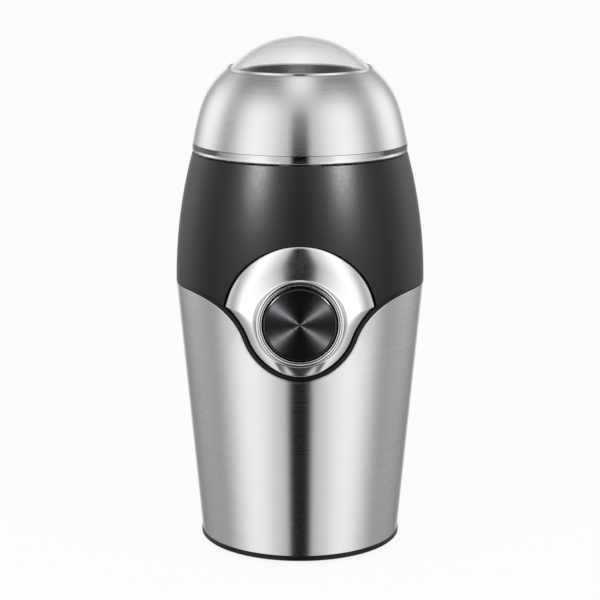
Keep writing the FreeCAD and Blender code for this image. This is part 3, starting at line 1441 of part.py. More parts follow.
# Interlock: a sprung rod that the lid prong holds down on a small switch
collar_top = collar_foot + 1.0
interlock_rod = place(revolved("interlock_rod", [
    (0, s.rod_foot),
    (s.rod_radius, s.rod_foot),
    (s.rod_radius, collar_foot),
    (s.rod_collar, collar_foot),
    (s.rod_collar, collar_top),
    (s.rod_radius, collar_top),
    (s.rod_radius, s.rod_top - 0.4),
    (s.rod_radius - 0.4, s.rod_top),
    (0, s.rod_top),
]), 0, -s.rod_offset, 0)
interlock_spring = place(revolved("interlock_spring", [
    (s.rod_radius + 0.15, guide_spans[0][1]),
    (s.rod_collar - 0.1, guide_spans[0][1]),
    (s.rod_collar - 0.1, collar_foot),
    (s.rod_radius + 0.15, collar_foot),
]), 0, -s.rod_offset, 0)
microswitch_top = s.microswitch_foot + s.microswitch_height
microswitch_back = well_outside + 0.5
interlock_switch = minus("interlock_switch", union("microswitch_solid", [
    box(
        -s.microswitch_half, s.microswitch_half, -microswitch_back - s.microswitch_depth, -microswitch_back,
        s.microswitch_foot, microswitch_top, "microswitch_case",
    ),
    rod(1.2, 1.2, 0, -s.rod_offset, microswitch_top, None, "microswitch_button"),
]), [
    rod(peg_radius + s.fit_gap, 20, x, -microswitch_back + 4, peg_height, TO_FRONT, "microswitch_hole")
    for x in peg_places
])

# Nodes that are written out, each under its own label

NODES = [
    housing, body_sleeve, seam_trim, button_bezel, button_ring,
    button_cap, button_face, button_clip, button_spring, switch_plunger, power_switch, switch_terminals,
    lid_dome, lid_sleeve, grinding_bowl, bowl_gasket, shaft_seal, bowl_nut,
    grinding_blade, blade_hub, blade_nut,
    motor_shaft, armature_core, armature_windings, commutator, cooling_fan,
    stator_core, field_coils, lower_bracket, upper_bracket, lower_bearing, upper_bearing,
    motor_screws, motor_mounts, mount_screws, brush_holders, carbon_brushes, brush_springs,
    base_cover, rubber_feet, base_screws, cord_inlet, suppression_capacitor,
    interlock_rod, interlock_spring, interlock_switch,
]

doc.recompute()
for thing in doc.Objects:
    if "Invalid" in thing.State or "Error" in thing.State:
        raise RuntimeError("%s is %s" % (thing.Label, thing.State))
for node in NODES:
    if node.Shape.isNull() or not node.Shape.isValid() or not node.Shape.Solids:
        raise RuntimeError(node.Label + " has no valid solid")

os.makedirs("parts", exist_ok=True)
for node in NODES:
    node.Shape.exportStep("parts/%s.step" % node.Label)
    corners = node.Shape.BoundBox
    print("%-22s %2d solid(s) %10.1f mm3  x %6.1f %6.1f  y %6.1f %6.1f  z %6.1f %6.1f" % (
        node.Label, len(node.Shape.Solids), node.Shape.Volume,
        corners.XMin, corners.XMax, corners.YMin, corners.YMax, corners.ZMin, corners.ZMax,
    ))
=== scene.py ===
# %% [markdown]
# # An electric spice grinder, dressed for its picture
#
# The grinder was built to size in CAD: a black moulded housing, a brushed
# steel sleeve and lid, a round push button in a chromed bezel, and all that
# works inside. This lesson gives that model its looks. Pieces whose CAD shape
# is right only get a better material. Pieces whose edges catch the light are
# made again here, with the small rounding that pressed and turned metal has.
#
# The CAD model is read in first, and nothing in this lesson moves it.

import math

import bpy
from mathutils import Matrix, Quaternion, Vector


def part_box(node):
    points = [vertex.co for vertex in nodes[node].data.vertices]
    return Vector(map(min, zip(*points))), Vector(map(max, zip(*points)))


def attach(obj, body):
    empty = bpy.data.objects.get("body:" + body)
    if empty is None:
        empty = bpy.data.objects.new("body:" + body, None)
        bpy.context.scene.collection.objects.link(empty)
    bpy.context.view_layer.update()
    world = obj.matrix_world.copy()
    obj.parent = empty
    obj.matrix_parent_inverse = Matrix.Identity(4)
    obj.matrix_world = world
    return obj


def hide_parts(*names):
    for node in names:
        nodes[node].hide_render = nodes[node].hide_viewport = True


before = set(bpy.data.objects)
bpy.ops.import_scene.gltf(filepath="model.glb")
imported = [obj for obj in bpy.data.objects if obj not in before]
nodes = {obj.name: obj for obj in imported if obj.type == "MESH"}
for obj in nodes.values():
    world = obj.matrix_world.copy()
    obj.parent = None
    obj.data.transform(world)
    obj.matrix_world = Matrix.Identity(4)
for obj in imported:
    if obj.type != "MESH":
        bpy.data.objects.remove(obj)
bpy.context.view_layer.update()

# %% [markdown]
# ## The camera
#
# The picture was taken from a little above the button, with a long lens, so
# that upright lines stay nearly upright. The distance and the lens were worked
# out from two widths of the body at known heights and from how open its round
# edges look.

# %% Camera
CAMERA_PLACE = Vector((0.0, -0.7922, 0.2721))
CAMERA_AIM = Vector((0.0, 0.0, 0.09867))
LENS_MM = 119.616

camera = bpy.data.objects.new("camera", bpy.data.cameras.new("camera"))
bpy.context.scene.collection.objects.link(camera)
camera.location = CAMERA_PLACE
camera.rotation_mode = "QUATERNION"
camera.rotation_quaternion = (CAMERA_AIM - CAMERA_PLACE).to_track_quat("-Z", "Y")
camera.data.lens = LENS_MM
camera.data.sensor_width = 36.0
camera.data.clip_start = 0.05
camera.data.clip_end = 50.0
bpy.context.scene.camera = camera
bpy.context.scene.view_settings.view_transform = "Standard"
print("camera looks down by", round(math.degrees(math.atan2(
    CAMERA_PLACE.z - CAMERA_AIM.z, -CAMERA_PLACE.y)), 1), "degrees")

# %% [markdown]
# ## Helpers for materials
#
# A colour is written here as the hex value that a paint program shows. The
# renderer counts light itself, so the value is turned to linear first. Another
# helper adds one node with its settings and its links. No real surface is quite
# even, so a last one lets a pattern vary the gloss, the height and the shade.

# %% Helpers for materials


def linear(code):
    """Linear colour of an sRGB hex value such as 1f1f20."""
    parts = [int(code[i:i + 2], 16) / 255 for i in (0, 2, 4)]
    return [p / 12.92 if p <= 0.04045 else ((p + 0.055) / 1.055) ** 2.4 for p in parts] + [1.0]


def node(tree, kind, inputs=None, **settings):
    """Adds one node. An input is given a number, a colour or another node's output."""
    made = tree.nodes.new(kind)
    for name, value in settings.items():
        setattr(made, name, value)
    for key, value in (inputs or {}).items():
        if isinstance(value, bpy.types.NodeSocket):
            tree.links.new(value, made.inputs[key])
        else:
            made.inputs[key].default_value = value
    return made


def material(name, colour, metallic=0.0, roughness=0.5):
    """A material with its main shader, ready for the nodes that make its pattern."""
    made = bpy.data.materials.new(name)
    made.use_nodes = True
    tree = made.node_tree
    shader = tree.nodes["Principled BSDF"]
    shader.inputs["Base Color"].default_value = linear(colour)
    shader.inputs["Metallic"].default_value = metallic
    shader.inputs["Roughness"].default_value = roughness
    return made, tree, shader


def grained(tree, shader, pattern, roughness, swing, depth, depth_mm, colour=None, contrast=0.0):
    """Lets a pattern vary a surface's gloss and height, and its shade where a colour is given."""
    spread = {"Value": pattern, "From Min": 0.3, "From Max": 0.7}
    gloss = node(tree, "ShaderNodeMapRange", {**spread, "To Min": roughness * (1 - swing),
                                              "To Max": roughness * (1 + swing)})
    tree.links.new(gloss.outputs["Result"], shader.inputs["Roughness"])
    bump = node(tree, "ShaderNodeBump", {"Height": pattern, "Strength": depth,
                                         "Distance": depth_mm * MM})
    tree.links.new(bump.outputs["Normal"], shader.inputs["Normal"])
    if colour:
        shade = node(tree, "ShaderNodeMapRange", {**spread, "To Min": 1 - contrast,
                                                  "To Max": 1 + contrast})
        tinted = node(tree, "ShaderNodeVectorMath", {0: linear(colour)[:3],
                                                     "Scale": shade.outputs["Result"]},
                      operation="SCALE")
        tree.links.new(tinted.outputs["Vector"], shader.inputs["Base Color"])


def for_eye_and_mirrors(tree):
    """One for rays that come from the camera, a mirror or clear plastic, and nothing for others."""
    rays = node(tree, "ShaderNodeLightPath").outputs
    mirrored = node(tree, "ShaderNodeMath", {0: rays["Is Camera Ray"], 1: rays["Is Glossy Ray"]},
                    operation="MAXIMUM")
    return node(tree, "ShaderNodeMath", {0: mirrored.outputs[0], 1: rays["Is Transmission Ray"]},
                operation="MAXIMUM").outputs[0]


MM = 0.001
print("a black of 1f1f20 is", [round(c, 4) for c in linear("1f1f20")[:3]], "linear")

# %% [markdown]
# ## Studio light
#
# Matte surfaces take their light from the sky and from two large soft lamps at
# the front corners. The sky is white only to the camera and to what mirrors or
# lets it through. To matte surfaces it is a light grey, so that the lamps
# still shape them. The lamps don't show in the metal or through the clear lid:
# a later step builds what is seen there.

# %% World and lamps
SKY = 0.6
LAMP_AZIMUTH = 45
LAMP_ELEVATION = 35
LAMP_DISTANCE = 1.2
LAMP_WIDTH = 0.66
LAMP_HEIGHT = 1.3
LAMP_RADIANCE = 1.1
LAMP_AIM = Vector((0.0, 0.0, 0.1))

world = bpy.data.worlds.new("white_tent")
bpy.context.scene.world = world
world.use_nodes = True
sky = world.node_tree
sky.nodes.clear()
soft_side = node(sky, "ShaderNodeBackground", {"Color": (1, 1, 1, 1), "Strength": SKY})
white_side = node(sky, "ShaderNodeBackground", {"Color": (1, 1, 1, 1), "Strength": 1.0})
both = node(sky, "ShaderNodeMixShader", {0: for_eye_and_mirrors(sky), 1: soft_side.outputs[0],
                                         2: white_side.outputs[0]})
node(sky, "ShaderNodeOutputWorld", {"Surface": both.outputs[0]})


def towards(azimuth, elevation):
    """Direction for an azimuth from the front and an elevation, in degrees."""
    a, e = math.radians(azimuth), math.radians(elevation)
    return Vector((math.sin(a) * math.cos(e), -math.cos(a) * math.cos(e), math.sin(e)))


def lamp(name, away, distance, width, height, radiance, aim, long_way=None):
    """An area lamp in the direction away from a point, its height laid along the long way."""
    data = bpy.data.lights.new(name, "AREA")
    data.shape = "RECTANGLE"
    data.size = width
    data.size_y = height
    data.energy = radiance * math.pi * width * height
    made = bpy.data.objects.new(name, data)
    bpy.context.scene.collection.objects.link(made)
    made.location = aim + away * distance
    made.rotation_mode = "QUATERNION"
    turn = (-away).to_track_quat("-Z", "Y")
    if long_way:
        upright = turn @ Vector((0, 1, 0))
        level = turn @ Vector((1, 0, 0))
        turn = turn @ Quaternion((0, 0, 1), math.atan2(-long_way.dot(level), long_way.dot(upright)))
    made.rotation_quaternion = turn
    return made


for side, sign in (("left", -1), ("right", 1)):
    soft = lamp("soft_lamp_" + side, towards(sign * LAMP_AZIMUTH, LAMP_ELEVATION), LAMP_DISTANCE,
                LAMP_WIDTH, LAMP_HEIGHT, LAMP_RADIANCE, LAMP_AIM)
    soft.visible_glossy = False
    soft.visible_transmission = False
print("lamps:", len(bpy.data.lights))

# %% [markdown]
# ## Floor
#
# The floor is plain and pale. Most of its white is its own, and the rest is
# lit, so that the shadow of the grinder stays on it, soft and faint as on a
# white table. The body narrows downwards and mirrors what is low in front of
# it, so neither mirrors nor the clear lid see the floor: they see the lower
# half of the tent in the next step.

# %% Floor
FLOOR_HALF = 6.0
LIT_SHARE = 0.1


def flat_sheet(name, corners, faces, finish):
    """Plain faces that belong to the studio and not to the grinder."""
    mesh = bpy.data.meshes.new(name)
    mesh.from_pydata(corners, [], faces)
    mesh.materials.append(finish)
    made = bpy.data.objects.new(name, mesh)
    bpy.context.scene.collection.objects.link(made)
    return made


floor_white, tree, shader = material("studio_floor_white", "ffffff", roughness=0.9)
share = node(tree, "ShaderNodeMath", {0: for_eye_and_mirrors(tree), 1: 1 - LIT_SHARE},
             operation="MULTIPLY")
own_white = node(tree, "ShaderNodeEmission", {"Color": (1, 1, 1, 1), "Strength": 1.0})
mixed = node(tree, "ShaderNodeMixShader", {0: share.outputs[0], 1: shader.outputs[0],
                                           2: own_white.outputs[0]})
tree.links.new(mixed.outputs[0], tree.nodes["Material Output"].inputs["Surface"])
floor = flat_sheet("floor", [(-FLOOR_HALF, -FLOOR_HALF, 0), (FLOOR_HALF, -FLOOR_HALF, 0),
                             (FLOOR_HALF, FLOOR_HALF, 0), (-FLOOR_HALF, FLOOR_HALF, 0)],
                   [(0, 1, 2, 3)], floor_white)
floor.visible_glossy = False
floor.visible_transmission = False

# %% [markdown]
# ## What the metal mirrors
#
# Metal has hardly any colour of its own: what it shows is the room. So the
# room of mirrors is built by itself, as a tent of cloth round the grinder that
# is seen only in metal and through clear plastic. Softboxes stand behind the
# cloth: two tall ones in front, left and right, two lower ones at the sides
# towards the back and one overhead. The cloth is dimmer high up and low at the
# rear, and a white backdrop hangs straight behind.
#
# Dark things matter as much as bright ones. A narrow card behind the camera
# gives the dark line down the middle of all the metal, and the wide edge of a
# dark table, low in front, gives what looks down there something to mirror.
# Light through cloth has no edge, so each light and each card fades out by the
# square of a cosine. All angles are in degrees.

# %% The tent that mirrors see
TENT_RADIUS = 1.3
TENT_CENTRE = 0.1
CLOTH = 0.56
HIGH_CLOTH, HIGH_FADE, HIGH_SHADE = 65.0, 30.0, 0.35
SOFTBOXES = (  # name, azimuth, full between, half widths to front and rear, fades, radiance
    ("front", 50.0, (-10.0, 28.0), (55.0, 42.0), (92.0, 50.0), 1.13),
    ("rear", 118.0, (12.0, 18.0), (37.0, 37.0), (36.0, 36.0), 1.15),
    ("rear_floor_cloth", 160.0, (-90.0, -14.0), (50.0, 50.0), (20.0, 20.0), -0.24),
)
OVERHEAD_TILT, OVERHEAD_LONG, OVERHEAD_WIDE, OVERHEAD_RADIANCE = 8.0, 46.0, 22.0, 1.25
CARD_HALF, CARD_SOFT = 8.0, 7.5
CARD_NARROWING, NARROWS_FROM, NARROWS_OVER = 2.6, -18.0, 22.0
CARD_TOP, CARD_TOP_FADE = 13.0, 30.0
CARD_FOOT, CARD_FOOT_FADE = -52.0, 16.0
TABLE_HALF, TABLE_SOFT, TABLE_MIDDLE, TABLE_HIGH, TABLE_FADE = 38.0, 12.0, -56.0, 8.0, 8.0
BACKDROP_HALF, BACKDROP_SOFT, BACKDROP_TOP = 16.0, 10.0, 10.0


def fade(excess, length):
    """One where there is no excess, and down to nothing over a length."""
    return math.cos(math.pi / 2 * min(1.0, max(0.0, excess) / length)) ** 2


def glow(azimuth, elevation):
    """How brightly the tent glows in a direction, in degrees. Azimuth 0 is the front."""
    a, e = math.radians(abs(azimuth)), math.radians(elevation)
    light = CLOTH * (1 - HIGH_SHADE * fade(HIGH_CLOTH - elevation, HIGH_FADE))
    for _, middle, (low, high), (half_front, half_rear), (below, above), radiance in SOFTBOXES:
        turn = a - math.radians(middle)
        across = math.degrees(math.asin(math.cos(e) * math.sin(turn)))
        upwards = math.degrees(math.atan2(math.sin(e), math.cos(e) * math.cos(turn)))
        if abs(upwards) <= 90:
            light += (radiance * fade(abs(across), half_rear if across > 0 else half_front)
                      * fade(upwards - high, above) * fade(low - upwards, below))
    across = math.degrees(math.asin(math.cos(e) * math.sin(a)))
    forwards = math.degrees(math.atan2(math.cos(e) * math.cos(a), math.sin(e)))
    light += OVERHEAD_RADIANCE * fade(abs(across), OVERHEAD_WIDE) * fade(
        abs(forwards - OVERHEAD_TILT), OVERHEAD_LONG)
    narrowed = min(1.0, max(0.0, (elevation - NARROWS_FROM) / NARROWS_OVER))
    card_half = CARD_HALF - CARD_NARROWING * narrowed
    card = fade(abs(azimuth) - card_half, CARD_SOFT) * fade(
        elevation - CARD_TOP, CARD_TOP_FADE) * fade(CARD_FOOT - elevation, CARD_FOOT_FADE)
    card = max(card, fade(abs(azimuth) - TABLE_HALF, TABLE_SOFT) * fade(
        abs(elevation - TABLE_MIDDLE) - TABLE_HIGH, TABLE_FADE))
    backdrop = fade(180 - abs(azimuth) - BACKDROP_HALF, BACKDROP_SOFT) * fade(
        elevation - BACKDROP_TOP, BACKDROP_SOFT)
    return light * (1 - card) * (1 - backdrop) + backdrop


across = [i / 2 for i in range(-40, 41)] + list(range(24, 337, 4))  # finer near the card
upwards = list(range(-90, 91, 4)) + [90]
corners, shine = [], []
for elevation in upwards:
    for azimuth in across:
        a, e = math.radians(azimuth), math.radians(elevation)
        corners.append((TENT_RADIUS * math.sin(a) * math.cos(e),
                        -TENT_RADIUS * math.cos(a) * math.cos(e),
                        TENT_CENTRE + TENT_RADIUS * math.sin(e)))
        shine.append(glow((azimuth + 180) % 360 - 180, elevation))
size = len(across)
faces = [(j * size + i, j * size + (i + 1) % size, (j + 1) * size + (i + 1) % size,
          (j + 1) * size + i) for j in range(len(upwards) - 1) for i in range(size)]
cloth, tree, shader = material("tent_cloth_lit_from_behind", "000000")
strength = node(tree, "ShaderNodeAttribute", attribute_name="glow")
lit = node(tree, "ShaderNodeEmission", {"Color": (1, 1, 1, 1), "Strength": strength.outputs["Fac"]})
tree.links.new(lit.outputs[0], tree.nodes["Material Output"].inputs["Surface"])
cloth.cycles.emission_sampling = "NONE"
tent_sheet = flat_sheet("tent", corners, faces, cloth)
tent_sheet.data.attributes.new("glow", "FLOAT", "POINT").data.foreach_set("value", shine)
tent_sheet.data.shade_smooth()
tent_sheet.visible_camera = False
tent_sheet.visible_diffuse = False
tent_sheet.visible_shadow = False
print("the tent glows from", round(min(shine), 2), "to", round(max(shine), 2))

# %% [markdown]
# ## Lamps for the dark plastic and the button
#
# A matte black housing mirrors only a little. Two small strong lamps at the
# front corners draw the soft upright highlights below the lid on it. They
# would burn out the steel, so they light only the housing and the button cap.
#
# The cross on the button comes from two more lamps. Its face is full of fine
# circles, and each short piece of groove mirrors like a rod: light comes to
# the camera along the line where the half way direction between the camera
# and the lamp falls on the face. The arms of the cross lie 35 degrees above
# and below the level, so a strip of lamp is laid along all the directions
# that such half way directions lead to.

# %% Small lamps
BOX_AZIMUTH, BOX_ELEVATION, BOX_SIZE, BOX_RADIANCE = 45, 22, 0.32, 70.0
ARM_ANGLE = math.radians(35)
STRIP_TILTS = [math.radians(a) for a in (12, 25, 38)]
STRIP_WIDTH, STRIP_RADIANCE = 0.13, 340.0
BOX_AIM = Vector((0.0, -0.02, 0.14))
BUTTON_FRONT = Vector((0.0, -0.052, 0.1001))


def by_way_of(tilt, sign):
    """Where the camera looks when a mirror on the button is tilted along one arm of the cross."""
    half_way = Vector((sign * math.sin(tilt) * math.cos(ARM_ANGLE), -math.cos(tilt),
                       math.sin(tilt) * math.sin(ARM_ANGLE)))
    view = (CAMERA_PLACE - BUTTON_FRONT).normalized()
    return 2 * view.dot(half_way) * half_way - view


housing_lit, button_lit = [bpy.data.collections.new(name) for name in ("housing_lit", "button_lit")]
bpy.context.scene.collection.children.link(housing_lit)
bpy.context.scene.collection.children.link(button_lit)
housing_lit.objects.link(nodes["housing"])
for side, sign in (("left", -1), ("right", 1)):
    box = lamp("small_box_" + side, towards(sign * BOX_AZIMUTH, BOX_ELEVATION), LAMP_DISTANCE,
               BOX_SIZE, BOX_SIZE, BOX_RADIANCE, BOX_AIM)
    box.light_linking.receiver_collection = housing_lit
    near, middle, far = [by_way_of(tilt, sign) for tilt in STRIP_TILTS]
    strip = lamp("strip_" + side, middle, LAMP_DISTANCE, STRIP_WIDTH,
                 LAMP_DISTANCE * (far - near).length, STRIP_RADIANCE, BUTTON_FRONT, far - near)
    strip.light_linking.receiver_collection = button_lit
print("lamps:", len(bpy.data.lights))

# %% [markdown]
# ## Brushed stainless steel
#
# The sleeve and the lid cap are stainless sheet, brushed round and round on a
# belt after they were formed. Each scratch runs level round the body. That
# smears a reflection up and down but keeps it sharp from side to side, so the
# tall lamps come out as clean upright bands. The shader does this with its
# anisotropy, along a direction across the scratches: up the walls, and
# outwards on faces that lie level, where there is no upwards.
#
# The scratches themselves are noise stretched a hundred times round the body.
# Real ones are some 0.05 mm apart, which no picture of the whole body shows,
# so here they are 0.35 mm apart.

# %% Brushed stainless steel
SCRATCH_MM = 0.35
SCRATCH_LENGTH_MM = 40.0
LEAN_OUT = 0.25  # small beside 1 on the walls, but all there is on a level face


def up_the_surface(tree):
    """The direction that runs across level scratches: upwards, leaning outwards a little."""
    geometry = node(tree, "ShaderNodeNewGeometry")
    level = node(tree, "ShaderNodeVectorMath", {0: geometry.outputs["Position"],
                                                1: (1.0, 1.0, 0.0)}, operation="MULTIPLY")
    outwards = node(tree, "ShaderNodeVectorMath", {0: level.outputs["Vector"]},
                    operation="NORMALIZE")
    return node(tree, "ShaderNodeVectorMath", {0: outwards.outputs["Vector"],
                                               1: (LEAN_OUT, LEAN_OUT, 0.0),
                                               2: (0.0, 0.0, 1.0)}, operation="MULTIPLY_ADD")


def brushed(name, colour, roughness, anisotropy, scratch_mm, length_mm, contrast, depth):
    """Metal with level scratches: their shade, their gloss and their depth."""
    made, tree, shader = material(name, colour, 1.0, roughness)
    shader.inputs["Anisotropic"].default_value = anisotropy
    tree.links.new(up_the_surface(tree).outputs["Vector"], shader.inputs["Tangent"])
    place = node(tree, "ShaderNodeTexCoord")
    stretch = (1000 / length_mm, 1000 / length_mm, 1000 / scratch_mm)
    long_way = node(tree, "ShaderNodeMapping", {"Vector": place.outputs["Object"], "Scale": stretch})
    scratches = node(tree, "ShaderNodeTexNoise", {"Vector": long_way.outputs["Vector"], "Scale": 1.0,
                                                  "Detail": 3.0, "Roughness": 0.65})
    grained(tree, shader, scratches.outputs["Fac"], roughness, 0.2, depth, 0.02, colour, contrast)
    return made


finishes = {}
# Long bands of light with a fine grain: the look of the whole grinder.
finishes["brushed_stainless"] = brushed("stainless_brushed_level", "c2c2c2", 0.23, 0.88, SCRATCH_MM,
                                        SCRATCH_LENGTH_MM, 0.035, 0.04)
# The bowl is drawn and only wiped, so it is cloudier and its marks are short.
finishes["pressed_stainless"] = brushed("stainless_pressed_bowl", "bdbcba", 0.3, 0.6, 0.5, 20.0,
                                        0.06, 0.2)
print("scratches", SCRATCH_MM, "mm apart and", SCRATCH_LENGTH_MM, "mm long")

# %% [markdown]
# ## Moulded plastics
#
# The housing is ABS from a mould whose steel was spark-eroded to a fine matte
# grain. It breaks up the gloss, so the lamps show only as soft greys. The trim
# in the seam and the base are the same plastic from a smoother mould.

# %% Moulded plastics


def moulded(name, colour, roughness, grain_mm, depth, ior=1.5, level=0.5):
    """Plastic or rubber from a grained mould: a fine bump, and gloss that varies a little."""
    made, tree, shader = material(name, colour, 0.0, roughness)
    shader.inputs["IOR"].default_value = ior
    shader.inputs["Specular IOR Level"].default_value = level
    place = node(tree, "ShaderNodeTexCoord")
    grain = node(tree, "ShaderNodeTexNoise", {"Vector": place.outputs["Object"],
                                              "Scale": 1000 / grain_mm, "Detail": 2.0,
                                              "Roughness": 0.6})
    grained(tree, shader, grain.outputs["Fac"], roughness, 0.1, depth, 0.05)
    return made


# Soft grey highlights on the housing, finer ones on the trim, and sharp ones on the cap.
finishes["black_abs"] = moulded("abs_black_spark_eroded", "0a0a0b", 0.33, 0.7, 0.2, level=0.2)
finishes["black_trim"] = moulded("abs_black_satin", "0b0b0c", 0.3, 1.2, 0.05, level=0.18)
finishes["black_gloss"] = moulded("abs_black_polished", "0a0a0b", 0.14, 2.0, 0.01, level=0.35)
# Duller parts inside: waxy nylon, rubber that hardly shines, milky silicone, grey carbon and
# the yellow case of the capacitor.
finishes["nylon"] = moulded("nylon_natural_moulded", "d8d2c2", 0.45, 1.0, 0.15)
finishes["black_nylon"] = moulded("nylon_black_moulded", "242425", 0.42, 1.0, 0.15)
finishes["black_rubber"] = moulded("rubber_black_moulded", "1b1b1b", 0.75, 0.6, 0.3)
finishes["white_silicone"] = moulded("silicone_white_moulded", "dcdcd8", 0.5, 0.8, 0.1, 1.41)
finishes["carbon"] = moulded("carbon_pressed", "2b2b2c", 0.6, 0.5, 0.4)
finishes["yellow_case"] = moulded("polyester_case_yellow", "d9b13a", 0.35, 1.5, 0.05)

# %% [markdown]
# ## Clear plastic
#
# The dome over the lid is SAN, a hard clear plastic like that of a mixing
# cup. It bends light more than water does, so its edges show dark and bright
# lines, and it never comes out of the mould quite flat, so they waver a little.

# %% Clear plastic
RIPPLE_MM = 9.0

made, tree, shader = material("san_clear_moulded", "fcfdfd", 0.0, 0.02)
shader.inputs["Transmission Weight"].default_value = 1.0
shader.inputs["IOR"].default_value = 1.57
place = node(tree, "ShaderNodeTexCoord")
ripple = node(tree, "ShaderNodeTexNoise", {"Vector": place.outputs["Object"],
                                           "Scale": 1000 / RIPPLE_MM, "Detail": 1.0})
bump = node(tree, "ShaderNodeBump", {"Height": ripple.outputs["Fac"], "Strength": 0.05,
                                     "Distance": 0.05 * MM})
tree.links.new(bump.outputs["Normal"], shader.inputs["Normal"])
finishes["clear_san"] = made

# %% [markdown]
# ## Small metals
#
# Chrome for the bezel and the ring round the button, the bright edges that
# sheet steel has where it was rolled or cut, and the metals inside.

# %% Small metals


def cast(name, colour, roughness, grain_mm, depth, contrast=0.08):
    """Metal with an even grain, such as plated, cast, sintered or wound."""
    made, tree, shader = material(name, colour, 1.0, roughness)
    place = node(tree, "ShaderNodeTexCoord")
    grain = node(tree, "ShaderNodeTexNoise", {"Vector": place.outputs["Object"],
                                              "Scale": 1000 / grain_mm, "Detail": 3.0})
    grained(tree, shader, grain.outputs["Fac"], roughness, 0.15, depth, 0.04, colour, contrast)
    return made


# Chrome gives broad soft glints on the bezel and sharp ones on the rings. The rolled edges
# are bright. The inside of the lid steel gets a darker colour, painted shade for the
# little light that gets in there.
finishes["satin_chrome"] = cast("chrome_satin_plated", "cfcfd0", 0.17, 6.0, 0.0, 0.01)
finishes["bright_chrome"] = cast("chrome_bright_plated", "dcdcdd", 0.08, 3.0, 0.0, 0.01)
finishes["mill_stainless"] = cast("stainless_mill_bright", "c3c2c0", 0.12, 4.0, 0.02, 0.02)
# Painted shade: a dark steel colour stands in for the shade inside the lid.
finishes["dark_inside"] = cast("stainless_inside_painted_shade", "262626", 0.25, 4.0, 0.02, 0.02)
# Behind the bowl: grey zinc, dull stacks of sheet, red enamelled wire, grainy bronze.
finishes["plated_steel"] = cast("steel_zinc_plated", "b9babb", 0.28, 1.2, 0.1)
finishes["silicon_steel"] = cast("steel_laminations", "6e6e70", 0.5, 0.6, 0.4)
finishes["copper_wire"] = cast("copper_enamelled_wire", "a8502a", 0.3, 0.8, 0.5)
finishes["copper"] = cast("copper_turned", "c9825f", 0.25, 0.8, 0.2)
finishes["sintered_bronze"] = cast("bronze_sintered", "a88a5a", 0.55, 0.4, 0.6)
finishes["die_cast"] = cast("zinc_die_cast", "b0b0b2", 0.45, 1.0, 0.3)

# %% [markdown]
# ## The spun face of the button
#
# The face is a thin black disc with fine circles turned into it. Circles
# smear a reflection along the radius, so each of the two strips of lamp draws
# a bar right across the disc, and both together draw a cross.

# %% Spun black face
BUTTON_HEIGHT = (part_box("button_face")[0].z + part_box("button_face")[1].z) / 2
TURN_MM = 0.35  # real turning is finer than that, and wouldn't show

made, tree, shader = material("aluminium_black_spun", "171718", 1.0, 0.5)
shader.inputs["Anisotropic"].default_value = 1.0
place = node(tree, "ShaderNodeTexCoord")
from_axis = node(tree, "ShaderNodeVectorMath", {0: place.outputs["Object"],
                                                1: (0.0, 0.0, BUTTON_HEIGHT)},
                 operation="SUBTRACT")
level = node(tree, "ShaderNodeVectorMath", {0: from_axis.outputs["Vector"], 1: (1.0, 0.0, 1.0)},
             operation="MULTIPLY")
outwards = node(tree, "ShaderNodeVectorMath", {0: level.outputs["Vector"]}, operation="NORMALIZE")
tree.links.new(outwards.outputs["Vector"], shader.inputs["Tangent"])
distance = node(tree, "ShaderNodeVectorMath", {0: level.outputs["Vector"]}, operation="LENGTH")
turns = node(tree, "ShaderNodeMath", {0: distance.outputs["Value"], 1: 1000 / TURN_MM},
              operation="MULTIPLY")
rings = node(tree, "ShaderNodeTexNoise", {"W": turns.outputs[0], "Scale": 1.0, "Detail": 2.0},
             noise_dimensions="1D")
gloss = node(tree, "ShaderNodeMapRange", {"Value": rings.outputs["Fac"], "From Min": 0.3,
                                          "From Max": 0.7, "To Min": 0.44, "To Max": 0.56})
tree.links.new(gloss.outputs["Result"], shader.inputs["Roughness"])
finishes["spun_black"] = made

# %% [markdown]
# ## Finishes go on
#
# Each CAD node came with a plain material named for the finish that it is to
# have, and gets the real one in its place.

# %% Put the finishes on the CAD nodes
for name, thing in nodes.items():
    for place in thing.material_slots:
        place.material = finishes[place.material.name.split(".")[0]]
print(len(nodes), "nodes have their finishes")

# %% [markdown]
# ## The outer form, as numbers
#
# Pieces that are made again here have to lie flush with the CAD model, so
# they need its outer form: a cone below the seam and one long bow above it.
# The radii are read from the corners of the CAD meshes, in millimetres. The
# seam runs level round the back and sides. In front it turns down in an arc,
# the shoulder, and passes below the button in another, the dip.

# %% Outer form and seam


def mm_box(name):
    """Lowest and highest corner of a CAD node in millimetres."""
    return [[c / MM for c in corner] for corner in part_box(name)]


def radius_at(name, height):
    """Largest distance of a node's corners from the upright axis at a height, in millimetres."""
    return max(math.hypot(v.co.x, v.co.y) / MM for v in nodes[name].data.vertices
               if abs(v.co.z / MM - height) < 0.05)


FOOT = mm_box("body_sleeve")[0][2]
BODY_RADIUS, _, SEAM = mm_box("body_sleeve")[1]
BASE_RADIUS = radius_at("body_sleeve", FOOT)
RIM_BEVEL = 0.5
RIM = mm_box("housing")[1][2] - RIM_BEVEL
DRAW = BODY_RADIUS - radius_at("housing", RIM)
BOW = ((RIM - SEAM) ** 2 + DRAW ** 2) / (2 * DRAW)
BUTTON = BUTTON_HEIGHT / MM
DIP_RADIUS = 23.5
SHOULDER_RADIUS = 24.0
TRIM_WIDTH = 1.85
FIT = 0.05
REACH = DIP_RADIUS + SHOULDER_RADIUS
SHOULDER_DROP = BUTTON - SEAM + SHOULDER_RADIUS
FLANK = math.sqrt(REACH ** 2 - SHOULDER_DROP ** 2)
MEET = math.atan2(-SHOULDER_DROP, FLANK)


def form_radius(height):
    """Radius of the outer form at a height."""
    if height < SEAM:
        return BASE_RADIUS + (BODY_RADIUS - BASE_RADIUS) * (height - FOOT) / (SEAM - FOOT)
    return BODY_RADIUS - BOW + math.sqrt(BOW ** 2 - (height - SEAM) ** 2)


